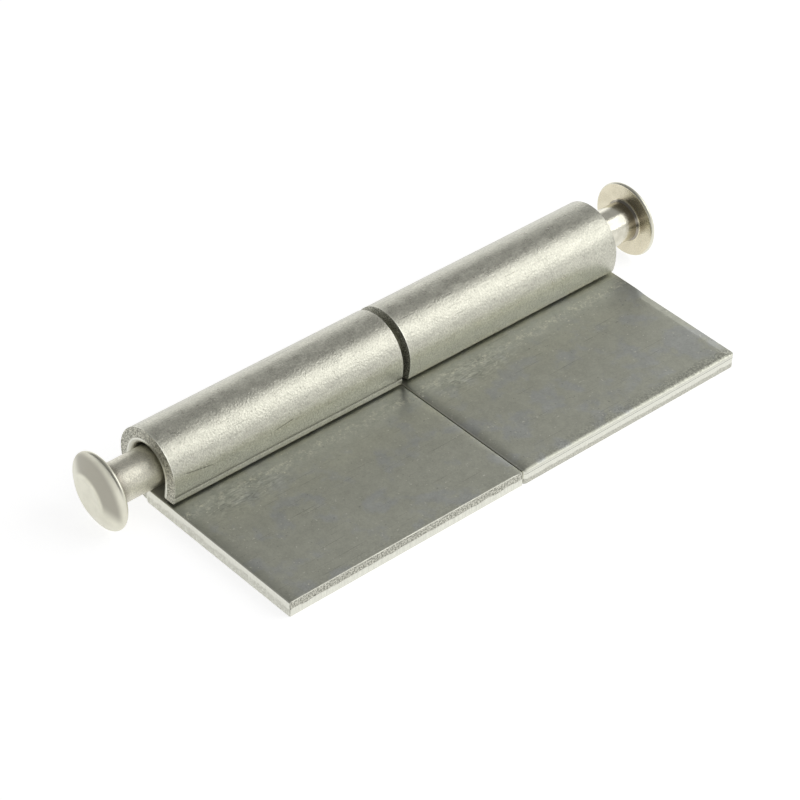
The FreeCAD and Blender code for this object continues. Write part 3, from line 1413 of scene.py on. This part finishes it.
    def set_back(self, place: Vector) -> Vector:
        """Move the knuckle's ends to where they stand against the flag's.

        Args:
            place: A point of the blank, in mm, with x measured from the low end.

        Returns:
            The point, with x measured in the part's frame.
        """
        blend = min(1.0, max(0.0, (place.y - self.flat + SETBACK_START) / SETBACK_RUN))
        share = place.x / self.width
        shift = self.low_setback * (1.0 - share) - self.high_setback * share
        return place + Vector((self.flag_low + blend * shift, 0, 0))

    def rolled(self, place: Vector) -> Vector:
        """Roll the strip: flat as the flag, round the bore, and straight down in front.

        Args:
            place: A point of the blank, in mm, with x in the part's frame.

        Returns:
            Where it lies after rolling, in mm.
        """
        if place.y <= self.flat:
            return Vector((place.x, self.low.y + place.y, self.low.z + place.z))
        if place.y <= self.flat + self.arc:
            angle = (place.y - self.flat) / self.radius - math.pi / 2
            reach = self.radius - place.z
            return Vector((
                place.x,
                self.axis_y + reach * math.cos(angle),
                self.axis_z + reach * math.sin(angle),
            ))
        fall = place.y - self.flat - self.arc
        lean = self.foot_lean * (fall / self.wall) ** 2
        front = self.axis_y - self.radius + lean
        return Vector((place.x, front + place.z, self.axis_z - fall))

    def build(self) -> bpy.types.Object:
        """Make the leaf's mesh from the flat blank.

        Returns:
            The leaf's object, at the origin.
        """
        across = self.across_stations()
        along = self.along_stations()
        bm = bmesh.new()
        bmesh.ops.create_grid(bm, x_segments=len(across) - 1, y_segments=len(along) - 1, size=1.0)
        raised = bmesh.ops.extrude_face_region(bm, geom=bm.faces[:])["geom"]
        raised = [part for part in raised if isinstance(part, bmesh.types.BMVert)]
        bmesh.ops.translate(bm, verts=raised, vec=(0, 0, 1))
        upright = [e for e in bm.edges if abs(e.verts[0].co.z - e.verts[1].co.z) > 0.5]
        bmesh.ops.subdivide_edges(bm, edges=upright, cuts=self.layers - 1, use_grid_fill=True)
        for vert in bm.verts:
            column = round((vert.co.x + 1) / 2 * (len(across) - 1))
            row = round((vert.co.y + 1) / 2 * (len(along) - 1))
            vert.co = Vector((across[column], along[row], vert.co.z * self.sheet))
        bmesh.ops.recalc_face_normals(bm, faces=bm.faces[:])
        self.map_cut_faces(bm)
        self.shape(bm)
        bmesh.ops.scale(bm, verts=bm.verts[:], vec=(MM, MM, MM))
        return finished(self.node + "_sheet", bm)

    def map_cut_faces(self, bm: bmesh.types.BMesh) -> None:
        """Give the cut faces their slot, and a map of length along the cut and depth into it.

        Args:
            bm: The plain blank, in mm.
        """
        cut_map = bm.loops.layers.uv.new(CUT_MAP)
        for cut_face in bm.faces:
            across_end = abs(cut_face.normal.x) > 0.5
            along_end = abs(cut_face.normal.y) > 0.5
            if across_end or along_end:
                cut_face.material_index = Slot.SHEARED.value
            for loop in cut_face.loops:
                place = loop.vert.co * MM
                if across_end:
                    loop[cut_map].uv = (place.y, place.z)
                elif along_end:
                    loop[cut_map].uv = (place.x, place.z)
                else:
                    loop[cut_map].uv = (place.x, place.y)

    def shape(self, bm: bmesh.types.BMesh) -> None:
        """Shear, round and roll the blank, and note where each point of it was.

        Args:
            bm: The plain blank, in mm.
        """
        blank = bm.verts.layers.float_vector.new(BLANK)
        torn_layer = bm.verts.layers.float.new(TORN)
        seam_layer = bm.verts.layers.float.new(SEAM)
        groove_layer = bm.verts.layers.float.new(GROOVE)
        for vert in bm.verts:
            offset = BLANK_PITCH * self.seed
            vert[blank] = Vector((vert.co.x + offset, vert.co.y, vert.co.z)) * MM
            place, torn, seam = self.sheared(vert.co.copy())
            vert[torn_layer] = torn
            vert[seam_layer] = seam
            place = self.rounded_corner(place)
            pressed = self.groove_share(place)
            vert[groove_layer] = pressed
            place.z += self.lip_groove * pressed
            place = self.set_back(place)
            vert.co = self.rolled(place)


class ProfilePen:
    """Draws a profile in the XZ plane by extruding and spinning its tip."""

    def __init__(self, bm: bmesh.types.BMesh, x: float, z: float) -> None:
        """Put the pen down at a point."""
        self.bm = bm
        self.tip = bm.verts.new((x, 0, z))

    def line_to(self, x: float, z: float) -> None:
        """Draw a straight edge.

        Args:
            x: Where it ends along the pin.
            z: Where it ends over the axis.
        """
        drawn = bmesh.ops.extrude_vert_indiv(self.bm, verts=[self.tip])
        self.tip = drawn["verts"][0]
        self.tip.co = Vector((x, 0, z))

    def arc_about(self, x: float, z: float, angle: float, steps: int) -> None:
        """Draw an arc.

        Args:
            x: Its centre along the pin.
            z: Its centre over the axis.
            angle: How far it turns in radians, from +Z towards +X if positive.
            steps: Its divisions.
        """
        drawn = bmesh.ops.spin(
            self.bm, geom=[self.tip], cent=(x, 0, z), axis=(0, 1, 0),
            angle=angle, steps=steps, use_duplicate=False,
        )
        self.tip = [v for v in drawn["geom_last"] if isinstance(v, bmesh.types.BMVert)][0]


@dataclass
class HeadedPin:
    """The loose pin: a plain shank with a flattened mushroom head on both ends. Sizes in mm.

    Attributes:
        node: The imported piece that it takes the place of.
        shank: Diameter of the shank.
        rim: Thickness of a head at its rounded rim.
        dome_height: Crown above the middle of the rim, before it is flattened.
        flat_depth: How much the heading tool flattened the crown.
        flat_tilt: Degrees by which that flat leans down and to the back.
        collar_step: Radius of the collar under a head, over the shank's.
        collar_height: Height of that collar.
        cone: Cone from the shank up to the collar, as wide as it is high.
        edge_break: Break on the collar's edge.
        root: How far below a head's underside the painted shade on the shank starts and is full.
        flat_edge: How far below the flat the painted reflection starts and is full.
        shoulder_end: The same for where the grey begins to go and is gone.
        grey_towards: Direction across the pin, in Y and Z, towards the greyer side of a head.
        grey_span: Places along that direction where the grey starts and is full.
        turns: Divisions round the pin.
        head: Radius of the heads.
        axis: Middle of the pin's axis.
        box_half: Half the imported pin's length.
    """

    node: str = "pin"
    shank: float = 8.0
    rim: float = 1.0
    dome_height: float = 2.7
    flat_depth: float = 0.5
    flat_tilt: float = 6.0
    collar_step: float = 0.5
    collar_height: float = 0.2
    cone: float = 0.35
    edge_break: float = 0.13
    root: Pair = (3.4, 1.2)
    flat_edge: Pair = (0.06, 0.35)
    shoulder_end: Pair = (1.5, 2.3)
    grey_towards: Pair = (-0.44, 0.90)
    grey_span: Pair = (-1.0, 2.5)
    turns: int = 144
    head: float = field(init=False)
    axis: Vector = field(init=False)
    box_half: float = field(init=False)

    def __post_init__(self) -> None:
        """Read the pin's box and work out its main lines."""
        low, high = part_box(self.node)
        low, high = low / MM, high / MM
        self.head = (high.z - low.z) / 2
        self.axis = Vector((0, (low.y + high.y) / 2, (low.z + high.z) / 2))
        self.box_half = (high.x - low.x) / 2

    def crown_x(self) -> float:
        """Where the crown would stand if it had not been flattened.

        Returns:
            Distance from the pin's middle, from the flat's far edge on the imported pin.
        """
        return self.box_half + self.flat_shortfall()

    def flat_shortfall(self) -> float:
        """Work out how much of the crown the tilted flat takes off the pin's length.

        Returns:
            The missing length.
        """
        radius, _ = self.dome()
        normal_x = math.cos(math.radians(self.flat_tilt))
        to_plane = (radius - self.flat_depth) * normal_x
        rim = math.sqrt(radius ** 2 - to_plane ** 2)
        return radius - (to_plane * normal_x + rim * math.sin(math.radians(self.flat_tilt)))

    def underside_x(self) -> float:
        """Distance of a head's underside from the pin's middle."""
        return self.crown_x() - self.dome_height - self.rim / 2

    def dome(self) -> tuple[float, float]:
        """Work out the dome's arc, which runs into the rim's round.

        Returns:
            Its radius, and the angle at which it meets that round.
        """
        rim_round = self.rim / 2
        rim_z = self.head - rim_round
        height = self.dome_height
        radius = (height ** 2 + rim_z ** 2 - rim_round ** 2) / (2 * (height - rim_round))
        return radius, math.atan2(rim_z, radius - height)

    def build(self) -> bpy.types.Object:
        """Turn the pin from its profile and press its crowns flat.

        Returns:
            The pin's object, at the origin.
        """
        bm = bmesh.new()
        self.draw_half(bm)
        half = bm.verts[:] + bm.edges[:]
        bmesh.ops.mirror(bm, geom=half, axis="X", merge_dist=MIRROR_MERGE)
        bmesh.ops.spin(
            bm, geom=bm.verts[:] + bm.edges[:], cent=(0, 0, 0), axis=(1, 0, 0),
            angle=2 * math.pi, steps=self.turns, use_merge=True, use_duplicate=False,
        )
        bmesh.ops.remove_doubles(bm, verts=bm.verts[:], dist=SPIN_MERGE)
        bmesh.ops.recalc_face_normals(bm, faces=bm.faces[:])
        bm.verts.layers.float.new(SHOULDER)
        for side in (-1, 1):
            self.press_crown(bm, side)
        self.dull_roots(bm)
        self.assign_slots(bm)
        bmesh.ops.translate(bm, verts=bm.verts[:], vec=self.axis)
        bmesh.ops.scale(bm, verts=bm.verts[:], vec=(MM, MM, MM))
        return finished(self.node + "_bar", bm)

    def dull_roots(self, bm: bmesh.types.BMesh) -> None:
        """Paint shade on the shank's ends and their cones, next to the heads' dark undersides.

        Args:
            bm: The turned pin about its own axis.
        """
        shoulder = bm.verts.layers.float[SHOULDER]
        underside = self.underside_x()
        start, full = (underside - before for before in self.root)
        # The cone's top ring counts as well, so the test is a little wider than the cone
        widest = self.shank / 2 + self.cone + 0.01
        for vert in bm.verts:
            if math.hypot(vert.co.y, vert.co.z) < widest and abs(vert.co.x) < underside:
                # Painted shade: the shank darkens towards each head, where it mirrors the dark
                # underside
                vert[shoulder] = smooth_step(abs(vert.co.x), start, full)

    def assign_slots(self, bm: bmesh.types.BMesh) -> None:
        """Give the shank, the heads' undersides and the domes their slots.

        Args:
            bm: The turned pin about its own axis.
        """
        # The start of the rim's round still belongs to the underside, the cone's foot to the shank
        dome_from = self.underside_x() + 0.1
        shank_to = self.shank / 2 + 0.2
        for made in bm.faces:
            middle = made.calc_center_median()
            if abs(middle.x) > dome_from:
                made.material_index = PinSlot.DOME.value
            elif math.hypot(middle.y, middle.z) > shank_to:
                made.material_index = PinSlot.UNDERSIDE.value

    def draw_half(self, bm: bmesh.types.BMesh) -> None:
        """Draw the right half of the profile, from mid-length out to the crown.

        Args:
            bm: An empty mesh.
        """
        shank = self.shank / 2
        rim_round = self.rim / 2
        rim_z = self.head - rim_round
        crown = self.crown_x()
        underside = self.underside_x()
        collar_face = underside - self.collar_height
        collar = shank + self.collar_step
        radius, foot = self.dome()
        pen = ProfilePen(bm, 0.0, shank)
        plain = collar_face - self.cone - ROOT_REACH
        for k in range(1, SHANK_STEPS + 1):
            pen.line_to(plain * k / SHANK_STEPS, shank)
        for k in range(1, ROOT_STEPS + 1):
            pen.line_to(plain + ROOT_REACH * k / ROOT_STEPS, shank)
        pen.line_to(collar_face, shank + self.cone)
        pen.line_to(collar_face, collar - self.edge_break)
        pen.line_to(collar_face + self.edge_break, collar)
        pen.line_to(underside, collar)
        for k in range(1, UNDERSIDE_STEPS + 1):
            pen.line_to(underside, collar + (rim_z - collar) * k / UNDERSIDE_STEPS)
        pen.arc_about(underside + rim_round, rim_z, math.pi - foot, RIM_STEPS)
        pen.arc_about(crown - radius, 0.0, foot, DOME_STEPS)

    def press_crown(self, bm: bmesh.types.BMesh, side: int) -> None:
        """Flatten one crown as the heading tool did.

        Args:
            bm: The turned pin about its own axis.
            side: 1 for the right head, -1 for the left.
        """
        tilt = math.radians(self.flat_tilt)
        lean = math.sin(tilt) * math.sqrt(0.5)
        normal = Vector((side * math.cos(tilt), lean, -lean))
        point = Vector((side * (self.crown_x() - self.flat_depth), 0, 0))
        bmesh.ops.bisect_plane(
            bm, geom=bm.verts[:] + bm.edges[:] + bm.faces[:], plane_co=point, plane_no=normal,
        )
        shoulder = bm.verts.layers.float[SHOULDER]
        for vert in bm.verts:
            height = (vert.co - point).dot(normal)
            if height > TINY:
                vert.co.x -= side * height / math.cos(tilt)
            # Painted reflection: round the flat, one side of the dome is greyed where it mirrors
            # the head's shadow on the floor
            upper = self.grey_towards[0] * vert.co.y + self.grey_towards[1] * vert.co.z
            grey = smooth_step(-height, *self.flat_edge) * smooth_step(upper, *self.grey_span)
            grey *= 1.0 - smooth_step(-height, *self.shoulder_end)
            vert[shoulder] = max(vert[shoulder], grey)


def finished(name: str, bm: bmesh.types.BMesh) -> bpy.types.Object:
    """Turn a bmesh into a linked object with smooth faces and sharp hard edges.

    Args:
        name: The object's name.
        bm: The mesh, in metres, which is freed.

    Returns:
        The new object.
    """
    mesh = bpy.data.meshes.new(name)
    bm.to_mesh(mesh)
    bm.free()
    mesh.shade_smooth()
    mesh.set_sharp_from_angle(angle=math.radians(SHARP_ANGLE))
    made = bpy.data.objects.new(name, mesh)
    bpy.context.scene.collection.objects.link(made)
    return made


@dataclass
class PhotoCamera:
    """A long lens at the viewing angle of the photograph, fitted to the hinge's edges.

    Attributes:
        azimuth: Degrees round from the front, negative towards the left head.
        elevation: Degrees above the horizon.
        roll: Degrees that the picture is turned.
        distance: From the pin's axis to the lens, in mm.
        shift_right: Lens off the line through the pin's middle, in mm.
        shift_up: The same, upwards.
        focal_pixels: Focal length in pixels of the picture.
        picture: Width of the picture, in pixels.
        sensor: Width of the camera's sensor, in mm.
        nearest: Distance from which the lens sees, in metres.
        farthest: Distance up to which it sees.
    """

    azimuth: float = -43.011
    elevation: float = 38.642
    roll: float = 2.172
    distance: float = 594.196
    shift_right: float = 4.065
    shift_up: float = -9.882
    focal_pixels: float = 3184.4
    picture: float = 800.0
    sensor: float = 36.0
    nearest: float = 0.01
    farthest: float = 20.0

    def build(self, target: Vector) -> bpy.types.Object:
        """Make the scene's camera.

        Args:
            target: Middle of the pin's axis, in metres.

        Returns:
            The camera's object.
        """
        azimuth, elevation, roll = (
            math.radians(a) for a in (self.azimuth, self.elevation, self.roll)
        )
        back = Vector((
            math.sin(azimuth) * math.cos(elevation),
            -math.cos(azimuth) * math.cos(elevation),
            math.sin(elevation),
        ))
        level = Vector((math.cos(azimuth), math.sin(azimuth), 0.0))
        upright = back.cross(level)
        right = math.cos(roll) * level + math.sin(roll) * upright
        up = -math.sin(roll) * level + math.cos(roll) * upright
        place = target + MM * (
            back * self.distance + right * self.shift_right + up * self.shift_up
        )
        data = bpy.data.cameras.new("photo_camera")
        data.sensor_width = self.sensor
        data.lens = self.focal_pixels / self.picture * self.sensor
        data.clip_start = self.nearest
        data.clip_end = self.farthest
        camera = bpy.data.objects.new("photo_camera", data)
        turn = Matrix((right, up, back)).transposed().to_4x4()
        camera.matrix_world = Matrix.Translation(place) @ turn
        bpy.context.scene.collection.objects.link(camera)
        bpy.context.scene.camera = camera
        return camera


@dataclass(frozen=True)
class Softbox:
    """An elliptical softbox that faces the hinge, its width along the pin.

    Attributes:
        name: Name of the lamp.
        towards: Direction from the hinge to the lamp.
        distance: Distance from the hinge, in metres.
        width: Size along the pin, in metres.
        height: Size across the pin, in metres.
        power: Power in watts.
    """

    name: str
    towards: tuple[float, float, float]
    distance: float
    width: float
    height: float
    power: float

    def build(self) -> bpy.types.Object:
        """Make the lamp.

        Returns:
            The lamp's object.
        """
        data = bpy.data.lights.new(self.name, "AREA")
        data.shape = "ELLIPSE"
        data.size = self.width
        data.size_y = self.height
        data.energy = self.power
        lamp = bpy.data.objects.new(self.name, data)
        facing = Vector(self.towards).normalized()
        across = facing.cross(Vector((1.0, 0.0, 0.0))).normalized()
        along = across.cross(facing)
        lamp.location = facing * self.distance
        lamp.rotation_mode = "QUATERNION"
        lamp.rotation_quaternion = Matrix((along, across, facing)).transposed().to_quaternion()
        bpy.context.scene.collection.objects.link(lamp)
        return lamp


@dataclass(frozen=True)
class RoomSide:
    """How bright the room is to one side, by height above the horizon.

    Attributes:
        bright_up_to: Degrees above the horizon that stay white.
        dim_from: Degrees from which it has its upper brightness.
        upper: Brightness above that.
    """

    bright_up_to: float
    dim_from: float
    upper: float


@dataclass
class Studio:
    """White sweep, one softbox and a room that is dim overhead and to the left.

    Attributes:
        floor_size: Width of the floor, in metres.
        floor_albedo: Share of the light that the floor sends back.
        floor_lift: What it shows beyond that, to the camera and in reflections.
        horizon_behind: Brightness of the horizon behind the hinge.
        horizon_ahead: The same in front of it.
        horizon_turn: Directions, as their Y, between which one turns into the other.
        open_side: The room on the right.
        dim_side: The room on the left.
        dim_towards: Direction of the dim side.
        dim_turn: How far a direction is towards it where the dimness starts and is full.
        key: The softbox, in front of the hinge to the right.
    """

    floor_size: float = 12.0
    floor_albedo: float = 0.45
    floor_lift: float = 0.80
    horizon_behind: float = 1.75
    horizon_ahead: float = 1.15
    horizon_turn: Pair = (-0.4, 0.4)
    open_side: RoomSide = RoomSide(7.0, 34.0, 0.53)
    dim_side: RoomSide = RoomSide(6.0, 14.0, 0.23)
    dim_towards: tuple[float, float, float] = (-0.97, 0.24, 0.0)
    dim_turn: Pair = (-0.45, 0.65)
    key: Softbox = Softbox(
        "key_softbox", towards=(0.64, -0.47, 0.63), distance=0.80, width=0.86, height=0.72,
        power=2.15,
    )

    def build(self) -> None:
        """Make the floor, the world and the lamp."""
        self.build_floor()
        self.build_world()
        self.key.build()

    def build_floor(self) -> bpy.types.Object:
        """Make the floor, which shows white and keeps the hinge's soft shadow.

        Returns:
            The floor's object.
        """
        bm = bmesh.new()
        bmesh.ops.create_grid(bm, x_segments=1, y_segments=1, size=self.floor_size / 2)
        mesh = bpy.data.meshes.new("floor")
        bm.to_mesh(mesh)
        bm.free()
        floor = bpy.data.objects.new("floor", mesh)
        bpy.context.scene.collection.objects.link(floor)
        material, tree = new_material("white_paper_sweep")
        albedo = self.floor_albedo
        diffuse = add_node(tree, "ShaderNodeBsdfDiffuse", {
            "Color": (albedo, albedo, albedo, 1.0),
        }).outputs["BSDF"]
        path = add_node(tree, "ShaderNodeLightPath")
        seen = path.outputs["Is Camera Ray"]
        for ray in ("Is Glossy Ray", "Is Transmission Ray"):
            seen = add_node(tree, "ShaderNodeMath", {
                0: seen, 1: path.outputs[ray],
            }, operation="MAXIMUM").outputs["Value"]
        lift = add_node(tree, "ShaderNodeMath", {
            0: seen, 1: self.floor_lift,
        }, operation="MULTIPLY").outputs["Value"]
        glow = add_node(tree, "ShaderNodeEmission", {"Strength": lift}).outputs["Emission"]
        both = add_node(tree, "ShaderNodeAddShader", {0: diffuse, 1: glow}).outputs["Shader"]
        add_node(tree, "ShaderNodeOutputMaterial", {"Surface": both})
        mesh.materials.append(material)
        return floor

    def build_world(self) -> None:
        """Make the room: white round the horizon, grey overhead and to the left."""
        world = bpy.data.worlds.new("studio_room")
        bpy.context.scene.world = world
        world.use_nodes = True
        tree = world.node_tree
        tree.nodes.clear()
        direction = add_node(tree, "ShaderNodeTexCoord").outputs["Generated"]
        facing = add_node(tree, "ShaderNodeVectorMath", {
            0: direction, 1: self.dim_towards,
        }, operation="DOT_PRODUCT").outputs["Value"]
        dim = add_node(tree, "ShaderNodeMapRange", {
            "Value": facing, "From Min": self.dim_turn[0], "From Max": self.dim_turn[1],
        }).outputs["Result"]
        split = add_node(tree, "ShaderNodeSeparateXYZ", {"Vector": direction})
        horizon = add_node(tree, "ShaderNodeMapRange", {
            "Value": split.outputs["Y"],
            "From Min": self.horizon_turn[0],
            "From Max": self.horizon_turn[1],
            "To Min": self.horizon_ahead,
            "To Max": self.horizon_behind,
        }, interpolation_type="SMOOTHSTEP").outputs["Result"]
        open_room, dim_room = (
            add_node(tree, "ShaderNodeMapRange", {
                "Value": split.outputs["Z"],
                "From Min": math.sin(math.radians(side.bright_up_to)),
                "From Max": math.sin(math.radians(side.dim_from)),
                "To Min": horizon,
                "To Max": side.upper,
            }, interpolation_type="SMOOTHSTEP").outputs["Result"]
            for side in (self.open_side, self.dim_side)
        )
        strength = add_node(tree, "ShaderNodeMix", {
            0: dim, 2: open_room, 3: dim_room,
        }, data_type="FLOAT").outputs[0]
        background = add_node(tree, "ShaderNodeBackground", {"Strength": strength})
        add_node(tree, "ShaderNodeOutputWorld", {"Surface": background.outputs["Background"]})


@dataclass
class FlagHinge:
    """The whole hinge: two leaves and the pin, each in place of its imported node.

    Attributes:
        plain_end: The ends of the leaves that meet in the middle, burnished down to a light tear.
        burred_front: Left flag's front, sheared from below, so that its burr stands up.
        soft_front: Right flag's front, rounded, with a fine dark line near its top.
        ragged_end: Left flag's left end, hardly rounded, its tear soft and wavy.
        worn_end: Right flag's right end, worn to a bevel along its front part.
        free_edge: The edge of both leaves that is rolled over the pin.
    """

    plain_end: ShearedEdge = ShearedEdge(
        roll_width=2.0, roll_depth=0.30, burnish=0.60, harshness=0.55,
    )
    burred_front: ShearedEdge = ShearedEdge(
        rolled_over=Face.LOWER, roll_width=0.6, roll_depth=0.15, burr=0.09,
    )
    soft_front: ShearedEdge = ShearedEdge(
        roll_width=1.1, roll_depth=0.65, burnish=0.45, slope=0.04, tear=0.05, harshness=0.56,
        seam=0.1,
    )
    ragged_end: ShearedEdge = ShearedEdge(
        roll_width=0.5, roll_depth=0.10, burnish=0.30, harshness=0.44, tear=0.10,
    )
    worn_end: ShearedEdge = ShearedEdge(
        roll_width=1.75, roll_depth=0.30, slope=0.45, harshness=0.6, bevel_end=25.0,
    )
    free_edge: ShearedEdge = ShearedEdge(
        rolled_over=Face.LOWER, roll_width=0.5, roll_depth=0.22, burnish=0.6,
    )

    def build(self) -> None:
        """Build and dress every piece, and report it."""
        self.build_leaves()
        self.build_pin()

    def build_leaves(self) -> None:
        """Build both leaves. They differ in how their edges and their free edge came out."""
        steels = (MillSteel().build(), ShearedSteel().build())
        left = RolledLeaf(
            "left_leaf", seed=1.0, low_setback=0.4, high_setback=0.4,
            front=self.burred_front, low_end=self.ragged_end, high_end=self.plain_end,
            free=self.free_edge, corner_round=0.3, foot_lean=0.3, lip_groove=0.17,
        )
        right = RolledLeaf(
            "right_leaf", seed=2.0, low_setback=0.9, high_setback=-0.2,
            front=self.soft_front, low_end=self.plain_end, high_end=self.worn_end,
            free=self.free_edge, corner_round=0.9, foot_lean=0.6,
        )
        for leaf in (left, right):
            made = leaf.build()
            for steel in steels:
                made.data.materials.append(steel)
            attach(made, leaf.node)
            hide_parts(leaf.node)
            self.report(made)

    def build_pin(self) -> None:
        """Build the pin with its three finishes, in the order of its slots."""
        made = HeadedPin().build()
        for finish in (
            PlatedSteel(
                "nickel_plated_bar", colour="#DEDBCC", shade="#CDCABB", dull="#9C968A",
                roughness=0.28, roughness_spread=0.14, speckle=0.42, relief=0.060,
                worn=0.45, grain=1.2,
            ),
            PlatedSteel(
                "tumbled_nickel_head", colour="#E4E2D2", shade="#DBD9C9", dull="#A8A599",
                roughness=0.29, roughness_spread=0.10, speckle=0.25, relief=0.008,
            ),
            PlatedSteel(
                "nickel_under_head", colour="#E2DBC4", shade="#D6CFB8", dull="#B9B6AA",
                roughness=0.22, roughness_spread=0.10, speckle=0.28, relief=0.012,
            ),
        ):
            made.data.materials.append(finish.build())
        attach(made, "pin")
        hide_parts("pin")
        self.report(made)

    @staticmethod
    def report(piece: bpy.types.Object) -> None:
        """Log a piece's name and its size in triangles."""
        piece.data.calc_loop_triangles()
        LOG.info("%s: %d triangles", piece.name, len(piece.data.loop_triangles))


def main() -> None:
    """Build the camera, the studio and the hinge."""
    logging.basicConfig(level=logging.INFO, format="%(message)s")
    scene = bpy.context.scene
    scene.view_settings.view_transform = "Standard"
    pin_low, pin_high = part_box("pin")
    PhotoCamera().build((pin_low + pin_high) / 2)
    Studio().build()
    FlagHinge().build()


if __name__ == "__main__":
    main()
